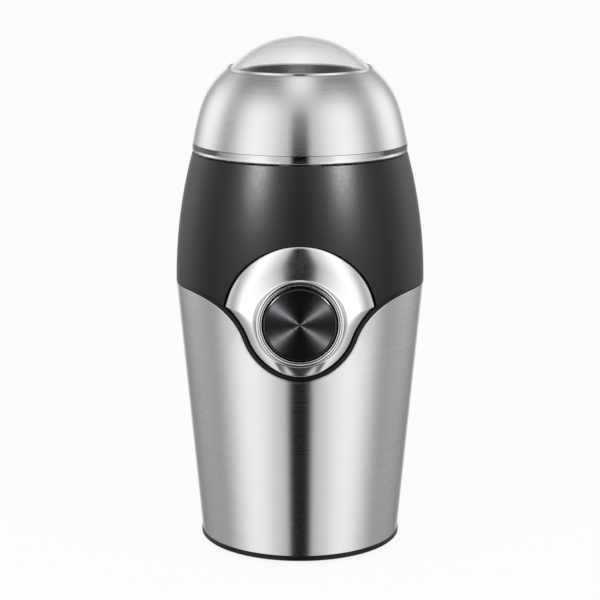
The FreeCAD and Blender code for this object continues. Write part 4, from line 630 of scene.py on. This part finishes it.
def seam_stations(step):
    """Places along the seam, each on its level part, by azimuth, or on one of its four arcs."""
    stations = []
    for side in (1, -1):
        shoulder = [("arc", side, FLANK, BUTTON - SHOULDER_DROP, SHOULDER_RADIUS, 1, angle)
                    for angle in spread(math.pi / 2, math.pi + MEET, step)]
        dip = [("arc", side, 0.0, BUTTON, DIP_RADIUS, -1, angle)
               for angle in spread(MEET, -math.pi / 2, step)][1:]
        stations += shoulder + dip if side > 0 else (shoulder + dip)[::-1][1:]
    edge = math.atan2(FLANK, math.sqrt(BODY_RADIUS ** 2 - FLANK ** 2))
    level = [("level", azimuth) for azimuth in spread(-edge, edge - 2 * math.pi, step)]
    return stations + level[1:-1]


def spread(start, end, step):
    """Evenly spaced values from start to end, no further apart than step."""
    count = max(1, math.ceil(abs(end - start) / step))
    return [start + (end - start) * i / count for i in range(count + 1)]


def on_seam(station, offset, depth):
    """The point offset above the seam line at a station, and depth below the outer form."""
    if station[0] == "level":
        height = SEAM + offset
        radius = form_radius(height) - depth
        return (radius * math.sin(station[1]), -radius * math.cos(station[1]), height)
    _, side, middle, height, radius, sign, angle = station
    x = middle + (radius + sign * offset) * math.cos(angle)
    z = height + (radius + sign * offset) * math.sin(angle)
    return (side * x, -math.sqrt((form_radius(z) - depth) ** 2 - x * x), z)


print("body", round(BASE_RADIUS, 2), "to", round(BODY_RADIUS, 2), "mm, bow", round(BOW, 1),
      "mm, seam", round(SEAM, 2), "mm,", len(seam_stations(0.02)), "places along it")

# %% [markdown]
# ## Rounded outlines
#
# Every edge of a real piece is a little rounded, and that thin rounding is
# what shines. An outline is given as corners with the radius of each. The
# helper puts an arc at each corner and one more point close by on either side,
# so that smooth shading stays on the arc and the flats stay flat.

# %% Helpers for outlines and grids
CLOSE_BY = 0.04


def rounded(corners, steps=4, closed=True):
    """Points round an outline. Each corner is (across, along, rounding)."""
    points = []
    for i, (x, y, rounding) in enumerate(corners):
        here = Vector((x, y))
        at_end = not closed and i in (0, len(corners) - 1)
        if rounding == 0 or at_end:
            points.append((x, y))
            continue
        before = Vector(corners[i - 1][:2]) - here
        after = Vector(corners[(i + 1) % len(corners)][:2]) - here
        before.normalize()
        after.normalize()
        half = before.angle(after) / 2
        back = rounding / math.tan(half)
        middle = here + (before + after).normalized() * rounding / math.sin(half)
        start = here + before * back - middle
        sweep = start.angle_signed(here + after * back - middle)
        points.append(tuple(here + before * (back + CLOSE_BY)))
        for k in range(steps + 1):
            turn = -sweep * k / steps
            points.append((middle.x + start.x * math.cos(turn) - start.y * math.sin(turn),
                           middle.y + start.x * math.sin(turn) + start.y * math.cos(turn)))
        points.append(tuple(here + after * (back + CLOSE_BY)))
    return points


def centre_of_bow(start, end, bow):
    """Centre of an arc that runs up and inwards from start to end, bulging outwards."""
    dx, dz = end[0] - start[0], end[1] - start[1]
    share = math.sqrt(bow * bow / (dx * dx + dz * dz) - 0.25)
    return (start[0] + end[0]) / 2 - dz * share, (start[1] + end[1]) / 2 + dx * share


def bowed(start, end, bow, count):
    """Points on such an arc."""
    middle = centre_of_bow(start, end, bow)
    first = math.atan2(start[1] - middle[1], start[0] - middle[0])
    last = math.atan2(end[1] - middle[1], end[0] - middle[0])
    return [(middle[0] + bow * math.cos(first + (last - first) * i / count),
             middle[1] + bow * math.sin(first + (last - first) * i / count))
            for i in range(count + 1)]


def shown(name, mesh):
    """An object for a mesh, in the scene."""
    thing = bpy.data.objects.new(name, mesh)
    bpy.context.scene.collection.objects.link(thing)
    return thing


def ring_of_loops(name, loops, finish):
    """A closed skin through loops of points in millimetres, the last joined to the first."""
    size = len(loops[0])
    points = [tuple(c * MM for c in point) for loop in loops for point in loop]
    faces = []
    for i in range(len(loops)):
        j = (i + 1) % len(loops)
        for k in range(size):
            m = (k + 1) % size
            faces.append((i * size + k, j * size + k, j * size + m, i * size + m))
    mesh = bpy.data.meshes.new(name)
    mesh.from_pydata(points, [], faces)
    mesh.materials.append(finish)
    mesh.shade_smooth()
    return shown(name, mesh)


def stands_for(piece, body, slot, *replaced):
    """The piece moves with a body and stands for CAD nodes, which it hides. The slot is not used."""
    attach(piece, body)
    if replaced:
        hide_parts(*replaced)
    print(piece.name, len(piece.data.polygons), "faces")


# %% [markdown]
# ## Turned pieces
#
# The ring, the cap and the face of the button and the steel of the lid are
# all turned: one outline, swept once round an axis. That is a rule, so a small
# Geometry Nodes tree makes them. It draws the outline along a circle as its
# rail, closes the poles by merging what falls together there, turns the
# result to its axis and gives it its finish.

# %% A tree for turned pieces


def new_tree(name, inputs):
    """An empty tree with named inputs, its input node and its output node."""
    tree = bpy.data.node_groups.new(name, "GeometryNodeTree")
    tree.interface.new_socket("Outline", in_out="INPUT", socket_type="NodeSocketGeometry")
    for label, kind in inputs:
        tree.interface.new_socket(label, in_out="INPUT", socket_type=kind)
    tree.interface.new_socket("Piece", in_out="OUTPUT", socket_type="NodeSocketGeometry")
    return tree, node(tree, "NodeGroupInput"), node(tree, "NodeGroupOutput")


def grown(name, tree, corners, edges, values):
    """Runs a tree on an outline in millimetres and keeps the result as a plain mesh."""
    outline = bpy.data.meshes.new(name + "_outline")
    outline.from_pydata([tuple(c * MM for c in corner) for corner in corners], edges, [])
    thing = shown(name, outline)
    modifier = thing.modifiers.new(tree.name, "NODES")
    modifier.node_group = tree
    for item in tree.interface.items_tree:
        if item.in_out == "INPUT" and item.name in values:
            modifier[item.identifier] = values[item.name]
    plain = bpy.data.meshes.new_from_object(
        thing.evaluated_get(bpy.context.evaluated_depsgraph_get()))
    thing.modifiers.clear()
    thing.data = plain
    return thing


turning, given, result = new_tree("turned_piece", [
    ("Rail Radius", "NodeSocketFloat"), ("Segments", "NodeSocketInt"), ("Turn", "NodeSocketVector"),
    ("Centre", "NodeSocketVector"), ("Finish", "NodeSocketMaterial")])
where = node(turning, "GeometryNodeInputPosition")
drawn = node(turning, "ShaderNodeSeparateXYZ", {0: where.outputs[0]})
outwards = node(turning, "ShaderNodeMath", {0: drawn.outputs["X"], 1: given.outputs["Rail Radius"]},
                operation="SUBTRACT")
downwards = node(turning, "ShaderNodeMath", {0: drawn.outputs["Z"], 1: -1.0}, operation="MULTIPLY")
laid = node(turning, "ShaderNodeCombineXYZ", {"X": outwards.outputs[0], "Y": downwards.outputs[0]})
flat = node(turning, "GeometryNodeSetPosition", {"Geometry": given.outputs["Outline"],
                                                 "Position": laid.outputs[0]})
line = node(turning, "GeometryNodeMeshToCurve", {"Mesh": flat.outputs[0]})
rail = node(turning, "GeometryNodeCurvePrimitiveCircle", {"Resolution": given.outputs["Segments"],
                                                          "Radius": given.outputs["Rail Radius"]},
            mode="RADIUS")
sweep = node(turning, "GeometryNodeCurveToMesh", {"Curve": rail.outputs["Curve"],
                                                  "Profile Curve": line.outputs["Curve"]})
joined = node(turning, "GeometryNodeMergeByDistance", {"Geometry": sweep.outputs[0],
                                                       "Distance": 0.001 * MM})
smooth = node(turning, "GeometryNodeSetShadeSmooth", {"Geometry": joined.outputs[0],
                                                      "Shade Smooth": True})
turned_round = node(turning, "GeometryNodeTransform", {"Geometry": smooth.outputs[0],
                                                       "Rotation": given.outputs["Turn"],
                                                       "Translation": given.outputs["Centre"]})
real = node(turning, "GeometryNodeRealizeInstances", {"Geometry": turned_round.outputs[0]})
finished = node(turning, "GeometryNodeSetMaterial", {"Geometry": real.outputs[0],
                                                     "Material": given.outputs["Finish"]})
turning.links.new(finished.outputs[0], result.inputs[0])


def turned(name, outline, finish, closed=True, segments=192, to_front=False):
    """A turned piece. Its outline is (radius, height), clockwise with the axis at the left."""
    corners = [(radius, 0.0, height) for radius, height in outline]
    edges = [(i, i + 1) for i in range(len(corners) - 1)]
    if closed:
        edges.append((len(corners) - 1, 0))
    return grown(name, turning, corners, edges, {
        "Rail Radius": 10 * MM, "Segments": segments,
        "Turn": (math.pi / 2 if to_front else 0.0, 0.0, 0.0),
        "Centre": (0.0, 0.0, BUTTON_HEIGHT if to_front else 0.0), "Finish": finish})


print("turned pieces come from", len(turning.nodes), "nodes")

# %% [markdown]
# ## The ring, the cap and the face of the button
#
# The bright ring sits in the collar, a thin line of light round a black gap.
# The cap is moulded, and the spun disc lies in its front, with a fine groove
# near the middle and an edge cut bright all round.

# %% Button


def button_reach(name):
    """Smallest and largest distance of a node's corners from the button axis, and its back and front."""
    away = [math.hypot(v.co.x, v.co.z - BUTTON_HEIGHT) / MM for v in nodes[name].data.vertices]
    low, high = mm_box(name)
    return min(away), max(away), -high[1], -low[1]


inner, _, back, front = button_reach("button_ring")
RING_WALL = 0.63
button_ring = turned("ring_of_button", rounded([
    (inner, back, 0.1), (inner, front - 0.2, 0.3), (inner + RING_WALL, front - 0.2, 0.1),
    (inner + RING_WALL, back, 0.1),
]), finishes["bright_chrome"], to_front=True)
stands_for(button_ring, "base", "bright_chrome", "button_ring")

_, face_radius, face_back, face_front = button_reach("button_face")
GROOVE_RADIUS = 3.1
GROOVE_HALF = 0.2
GROOVE_DEPTH = 0.45
EDGE_CUT = 0.12
button_face = turned("face_of_button", [(0.0, face_front)] + rounded([
    (GROOVE_RADIUS - 3 * GROOVE_HALF, face_front, 0.0),
    (GROOVE_RADIUS - GROOVE_HALF, face_front, 0.03),
    (GROOVE_RADIUS, face_front - GROOVE_DEPTH, 0.04),
    (GROOVE_RADIUS + GROOVE_HALF, face_front, 0.03),
    (face_radius - EDGE_CUT, face_front, 0.04),
    (face_radius, face_front - EDGE_CUT, 0.04),
    (face_radius, face_back, 0.04),
    (face_radius - 1.0, face_back, 0.0),
], 3, closed=False) + [(0.0, face_back)], finishes["spun_black"], closed=False, to_front=True)
stands_for(button_face, "button", "spun_black", "button_face")

_, cap_radius, cap_back, cap_front = button_reach("button_cap")
STEM_RADIUS = 3.0
CAP_WALL = 1.6
CAP_DEPTH = 8.0
CAP_ROUND = 0.98
cap_inner = cap_front - CAP_WALL
button_cap = turned("cap_of_button", [(0.0, face_back - 0.01)] + rounded([
    (face_radius - 1.0, face_back - 0.01, 0.0),
    (face_radius + FIT, face_back - 0.01, 0.03),
    (face_radius + FIT, cap_front, 0.12),
    (cap_radius, cap_front, CAP_ROUND),
    (cap_radius, cap_front - CAP_DEPTH, 0.2),
    (cap_radius - CAP_WALL, cap_front - CAP_DEPTH, 0.2),
    (cap_radius - CAP_WALL, cap_inner, 0.3),
    (STEM_RADIUS, cap_inner, 0.3),
    (STEM_RADIUS, cap_back, 0.4),
    (STEM_RADIUS - 1.0, cap_back, 0.0),
], 3, closed=False) + [(0.0, cap_back)], finishes["black_gloss"], closed=False, to_front=True)
stands_for(button_cap, "button", "black_abs", "button_cap")
button_lit.objects.link(button_face)
housing_lit.objects.link(button_cap)

# %% [markdown]
# ## The spring behind the button
#
# The CAD model has a plain sleeve for this spring. The real one is wire wound
# in a coil, so a second small tree lays wire along any line, and the line is
# worked out point by point as a screw thread. A coil would have to shorten as
# the button goes in. This one is drawn as short as it gets, so that it stays
# clear of the cap over the whole stroke.

# %% Button spring
wiring, given, result = new_tree("wire_along_a_line", [("Wire Radius", "NodeSocketFloat"),
                                                       ("Finish", "NodeSocketMaterial")])
line = node(wiring, "GeometryNodeMeshToCurve", {"Mesh": given.outputs["Outline"]})
section = node(wiring, "GeometryNodeCurvePrimitiveCircle", {"Resolution": 12,
                                                            "Radius": given.outputs["Wire Radius"]},
               mode="RADIUS")
tube = node(wiring, "GeometryNodeCurveToMesh", {"Curve": line.outputs["Curve"],
                                                "Profile Curve": section.outputs["Curve"],
                                                "Fill Caps": True})
smooth = node(wiring, "GeometryNodeSetShadeSmooth", {"Geometry": tube.outputs[0],
                                                     "Shade Smooth": True})
real = node(wiring, "GeometryNodeRealizeInstances", {"Geometry": smooth.outputs[0]})
finished = node(wiring, "GeometryNodeSetMaterial", {"Geometry": real.outputs[0],
                                                    "Material": given.outputs["Finish"]})
wiring.links.new(finished.outputs[0], result.inputs[0])

STROKE = 3.0
SPRING_GAP = 0.1
COILS = 4
POINTS_A_TURN = 32
spring_inner, spring_outer, spring_back, spring_front = button_reach("button_spring")
wire = (spring_outer - spring_inner) / 2
spring_length = spring_front - STROKE - SPRING_GAP - spring_back - 2 * wire
coil_line = []
for i in range(COILS * POINTS_A_TURN + 1):
    turn = 2 * math.pi * i / POINTS_A_TURN
    along = spring_back + wire + spring_length * i / (COILS * POINTS_A_TURN)
    coil_line.append(((spring_outer - wire) * math.cos(turn), -along,
                      BUTTON + (spring_outer - wire) * math.sin(turn)))
button_spring = grown("spring_of_button", wiring, coil_line,
                      [(i, i + 1) for i in range(len(coil_line) - 1)],
                      {"Wire Radius": wire * MM, "Finish": finishes["plated_steel"]})
stands_for(button_spring, "base", "plated_steel", "button_spring")
print("spring wire", round(2 * wire, 2), "mm, pressed length", round(spring_length + 2 * wire, 2))

# %% [markdown]
# ## The steel of the lid
#
# The lid cap is drawn from one sheet over two bows and its mouth is rolled
# round, so that no sharp edge is left beside the clear bubble. The rolled edge
# is the bright line round the mouth, and its hem is what shows first inside.
# Below the hem the sheet lies in shade, so the faces there get a darker colour: painted shade.
#
# The steel ends above the foot of the clear lid. A polished ring is set in
# that foot, and its sloping side gives the clear band its bright line.

# %% Lid steel
STEEL_SHEET = 0.5
LOW_BOW = 98.2
HIGH_BOW = 31.1
SHOULDER_INSET = 3.34
LID_SHOULDER = 17.6
RIM_PROUD = 0.15
RIM_ROUND_IN, RIM_ROUND_OUT = 0.55, 0.28
RIM_WIDTH_IN, RIM_WIDTH_OUT = 0.1, 0.75
HEM = 1.7
lid_low, lid_high = mm_box("lid_sleeve")
foot_radius = radius_at("lid_sleeve", lid_low[2])
mouth_radius = radius_at("lid_sleeve", lid_high[2])
shoulder_height = mm_box("housing")[1][2] + LID_SHOULDER
outer_line = bowed((foot_radius, lid_low[2]), (foot_radius - SHOULDER_INSET, shoulder_height),
                   LOW_BOW, 14)
outer_line += bowed(outer_line[-1], (mouth_radius, lid_high[2]), HIGH_BOW, 26)[1:]
inner_line = []
for i, point in enumerate(outer_line):
    before = Vector(outer_line[max(0, i - 1)])
    after = Vector(outer_line[min(len(outer_line) - 1, i + 1)])
    along = (after - before).normalized()
    inner_line.append((point[0] - along.y * STEEL_SHEET, point[1] + along.x * STEEL_SHEET))
inner_line = [point for point in inner_line
              if lid_low[2] + 0.3 < point[1] < lid_high[2] - HEM - 0.4]
outer_line = [point for point in outer_line if point[0] > mouth_radius + 0.9]
rim_height = lid_high[2] + RIM_PROUD
sheet_line = ([(inner_line[0][0], lid_low[2], 0.0)] + [(*point, 0.0) for point in inner_line[1:]]
              + [(mouth_radius + 0.45, lid_high[2] - HEM, 0.0),
                 (mouth_radius - RIM_WIDTH_IN, lid_high[2] - HEM, 0.15),
                 (mouth_radius - RIM_WIDTH_IN, rim_height, RIM_ROUND_IN),
                 (mouth_radius + RIM_WIDTH_OUT, rim_height, RIM_ROUND_OUT),
                 (mouth_radius + RIM_WIDTH_OUT, lid_high[2] - 0.75, 0.03)]
              + [(*point, 0.0) for point in outer_line[:0:-1]] + [(*outer_line[0], 0.12)])
lid_steel = turned("steel_of_lid", rounded(sheet_line), finishes["brushed_stainless"])
lid_steel.data.materials.append(finishes["mill_stainless"])
lid_steel.data.materials.append(finishes["dark_inside"])
HEM_FINISH, INSIDE_PAINTED_SHADE = 1, 2
# Faces that look inwards or down below the hem get the dark colour of painted shade; those above it get
# the bright hem.
for face in lid_steel.data.polygons:
    inwards = face.normal.x * face.center.x + face.normal.y * face.center.y < 0
    below_hem = face.center.z < (lid_high[2] - HEM + 0.1) * MM
    if inwards or face.normal.z < -0.9:
        face.material_index = INSIDE_PAINTED_SHADE if below_hem else HEM_FINISH
stands_for(lid_steel, "lid", "brushed_stainless", "lid_sleeve")

FOOT_SET_IN = 0.75
FOOT_SLOPE = 0.6
ring_radius = foot_radius - FOOT_SET_IN
ring_low, ring_high = lid_low[2] - 3.1, lid_low[2] - FIT
foot_ring = turned("set_in_foot_of_lid", rounded([
    (ring_radius - FOOT_SLOPE - 0.2, ring_low, 0.05), (ring_radius - 0.4, ring_high, 0.05),
    (ring_radius, ring_high, 0.05), (ring_radius - FOOT_SLOPE, ring_low, 0.05),
]), finishes["bright_chrome"])
stands_for(foot_ring, "lid", "brushed_stainless")

# %% [markdown]
# ## The black trim in the seam and the lip of the sleeve
#
# A soft black strip closes the seam. It keeps its width in the front view, so
# its section is drawn at each place along the seam between the two edge lines.
# Both outer corners are rounded, which parts it from the steel by a fine line.
# The cut edge of the sleeve below it is rounded too and left bright, so a
# narrow lip of bright steel runs along the trim.

# %% Seam trim
TRIM_DEPTH = 1.2
SEAM_STEP = 0.02  # radians along its arcs
TRIM_SECTION = rounded([(FIT, TRIM_DEPTH, 0.1), (FIT, 0.0, 0.3),
                        (TRIM_WIDTH - FIT, 0.0, 0.3), (TRIM_WIDTH - FIT, TRIM_DEPTH, 0.1)], 3)
seam_trim = ring_of_loops("trim_in_seam", [
    [on_seam(station, offset, depth) for offset, depth in TRIM_SECTION]
    for station in seam_stations(SEAM_STEP)], finishes["black_trim"])
stands_for(seam_trim, "base", "black_trim", "seam_trim")

LIP_WIDTH = 0.6
LIP_PROUD = 0.04
LIP_SECTION = rounded([(-LIP_WIDTH, 0.4, 0.0), (-LIP_WIDTH, -LIP_PROUD + 0.06, 0.0),
                       (-LIP_WIDTH + 0.1, -LIP_PROUD, 0.0), (0.0, -LIP_PROUD, 0.4),
                       (0.0, 0.45, 0.0)], 5)
sleeve_lip = ring_of_loops("lip_of_sleeve", [
    [on_seam(station, offset, depth) for offset, depth in LIP_SECTION]
    for station in seam_stations(SEAM_STEP)], finishes["mill_stainless"])
stands_for(sleeve_lip, "base", "brushed_stainless")

# %% [markdown]
# ## The bezel
#
# The bezel is one moulding, plated satin chrome: a shield that follows the bow
# of the body, and a round collar that rises from it out of a hollow. Its
# section is drawn along rays from the button axis, at every angle. Each ray
# runs up inside the collar, over its rounded edge, down into the hollow, out
# over the shield, round the edge and back behind.
#
# What chrome shows depends on small slopes, so the shield isn't a plain piece
# of the bow. At its sides it is crowned and falls off to the edge. Straight
# above the collar it is ramped up to it instead, and straight below it leaves
# a level sill. A high power of the sine keeps both close to the upright line.

# %% Bezel
BEZEL_RADIUS = 30.0
BEZEL_DEPTH = 1.8
COLLAR_RADIUS = 17.0
COLLAR_BORE = 15.35
HOLLOW, HOLLOW_BELOW, HOLLOW_LEAST = 2.6, 0.8, 0.04
CREST_ROUND, CREST_SHARPER = 0.9, 0.8
EDGE_ROUND = 0.3
EDGE_GAP = 0.2
CROWN_WIDTH = 7.0
CROWN_ROUND = 11.8
CROWN_PROUD = 1.4
RAMP_POWER = 8
RAMP_SHARE = 0.4
SILL_PROUD = 0.4
_, _, COLLAR_BACK, COLLAR_FRONT = button_reach("button_bezel")
BEZEL_FOOT = BUTTON - DIP_RADIUS + TRIM_WIDTH
BEZEL_TOP = BUTTON + BEZEL_RADIUS + 1
bezel_middle = centre_of_bow((form_radius(BEZEL_FOOT), BEZEL_FOOT),
                             (form_radius(BEZEL_TOP), BEZEL_TOP), BOW)
DIP_INNER = DIP_RADIUS - TRIM_WIDTH - FIT
SHOULDER_OUTER = SHOULDER_RADIUS + TRIM_WIDTH + FIT
CORNER = MEET + math.acos((BEZEL_RADIUS ** 2 + REACH ** 2 - SHOULDER_OUTER ** 2)
                          / (2 * BEZEL_RADIUS * REACH))
RAMP_PROUD = RAMP_SHARE * (COLLAR_FRONT - bezel_middle[0] - math.sqrt(
    BOW ** 2 - (BUTTON + COLLAR_RADIUS - bezel_middle[1]) ** 2))
print("the shield rises to the collar at the top by, mm:", round(RAMP_PROUD, 2))


def shield_front(radius, angle, depth=0.0):
    """How far in front of the upright axis the shield lies, on a ray from the button axis."""
    x, z = radius * math.cos(angle), BUTTON + radius * math.sin(angle)
    around = bezel_middle[0] + math.sqrt(BOW ** 2 - (z - bezel_middle[1]) ** 2) - depth
    if depth == 0.0:
        edge = shield_edge(angle)
        past = max(0.0, CROWN_WIDTH - edge + radius)
        crown = CROWN_PROUD - CROWN_ROUND + math.sqrt(CROWN_ROUND ** 2 - past ** 2)
        ramp = RAMP_PROUD * max(0.0, edge - radius) / (edge - COLLAR_RADIUS)
        if math.sin(angle) < 0:
            ramp = SILL_PROUD
        around += crown + (ramp - crown) * abs(math.sin(angle)) ** RAMP_POWER
    return math.sqrt(around ** 2 - x * x)


def shield_edge(angle):
    """Distance of the edge of the shield from the button axis along a ray."""
    angle = math.atan2(math.sin(angle), abs(math.cos(angle)))
    if angle >= CORNER:
        return BEZEL_RADIUS
    if angle <= MEET:
        return DIP_INNER
    across = REACH * math.cos(angle - MEET)
    return across - math.sqrt(across ** 2 - REACH ** 2 + SHOULDER_OUTER ** 2)


def bezel_loop(angle):
    """The closed section of the bezel on one ray, as points in space."""
    crest = CREST_ROUND - CREST_SHARPER * max(0.0, math.sin(angle)) ** 4
    section = rounded([(COLLAR_BORE, COLLAR_BACK, 0.0), (COLLAR_BORE, COLLAR_FRONT, 0.6),
                       (COLLAR_RADIUS, COLLAR_FRONT, crest),
                       (COLLAR_RADIUS, COLLAR_BACK, 0.0)], 6)[:-1]
    rise = COLLAR_FRONT - shield_front(COLLAR_RADIUS, angle)
    hollow = HOLLOW * min(1.0, max(HOLLOW_LEAST, (rise - 1) / 3))
    hollow += (HOLLOW_BELOW - hollow) * max(0.0, -math.sin(angle)) ** 6
    touch = COLLAR_RADIUS + hollow
    for _ in range(6):  # settles where the hollow touches the shield
        slope = (shield_front(touch + 0.01, angle) - shield_front(touch - 0.01, angle)) / 0.02
        touch = COLLAR_RADIUS + hollow + hollow * slope / math.hypot(1, slope)
    middle = (COLLAR_RADIUS + hollow, shield_front(touch, angle) + hollow / math.hypot(1, slope))
    last = math.atan2(shield_front(touch, angle) - middle[1], touch - middle[0])
    section += [(COLLAR_RADIUS, middle[1] + CLOSE_BY)]
    section += [(middle[0] + hollow * math.cos(turn), middle[1] + hollow * math.sin(turn))
                for turn in (math.pi + (last + math.pi) * i / 10 for i in range(11))]
    edge = shield_edge(angle) - EDGE_GAP
    for i in range(1, 17):
        radius = touch + (edge - EDGE_ROUND - touch) * i / 16
        section.append((radius, shield_front(radius, angle)))
    lip = shield_front(edge, angle)
    for i in range(1, 6):
        turn = math.pi / 2 * i / 5
        section.append((edge - EDGE_ROUND + EDGE_ROUND * math.sin(turn),
                        lip - EDGE_ROUND + EDGE_ROUND * math.cos(turn)))
    section.append((edge, shield_front(edge, angle, BEZEL_DEPTH) + CLOSE_BY))
    for i in range(9):
        radius = edge + (COLLAR_RADIUS - edge) * i / 8
        section.append((radius, shield_front(radius, angle, BEZEL_DEPTH)))
    section.append((COLLAR_RADIUS, COLLAR_BACK))
    return [(r * math.cos(angle), -y, BUTTON + r * math.sin(angle)) for r, y in section]


right_side = (spread(-math.pi / 2, MEET, 0.03) + spread(MEET, CORNER - 0.01, 0.02)[1:]
              + [CORNER - 0.002, CORNER, CORNER + 0.002] + spread(CORNER + 0.01, math.pi / 2, 0.02))
rays_round = right_side + [math.pi - angle for angle in right_side[-2:0:-1]]
bezel = ring_of_loops("bezel_of_button", [bezel_loop(angle) for angle in rays_round],
                      finishes["satin_chrome"])
stands_for(bezel, "base", "satin_chrome", "button_bezel")
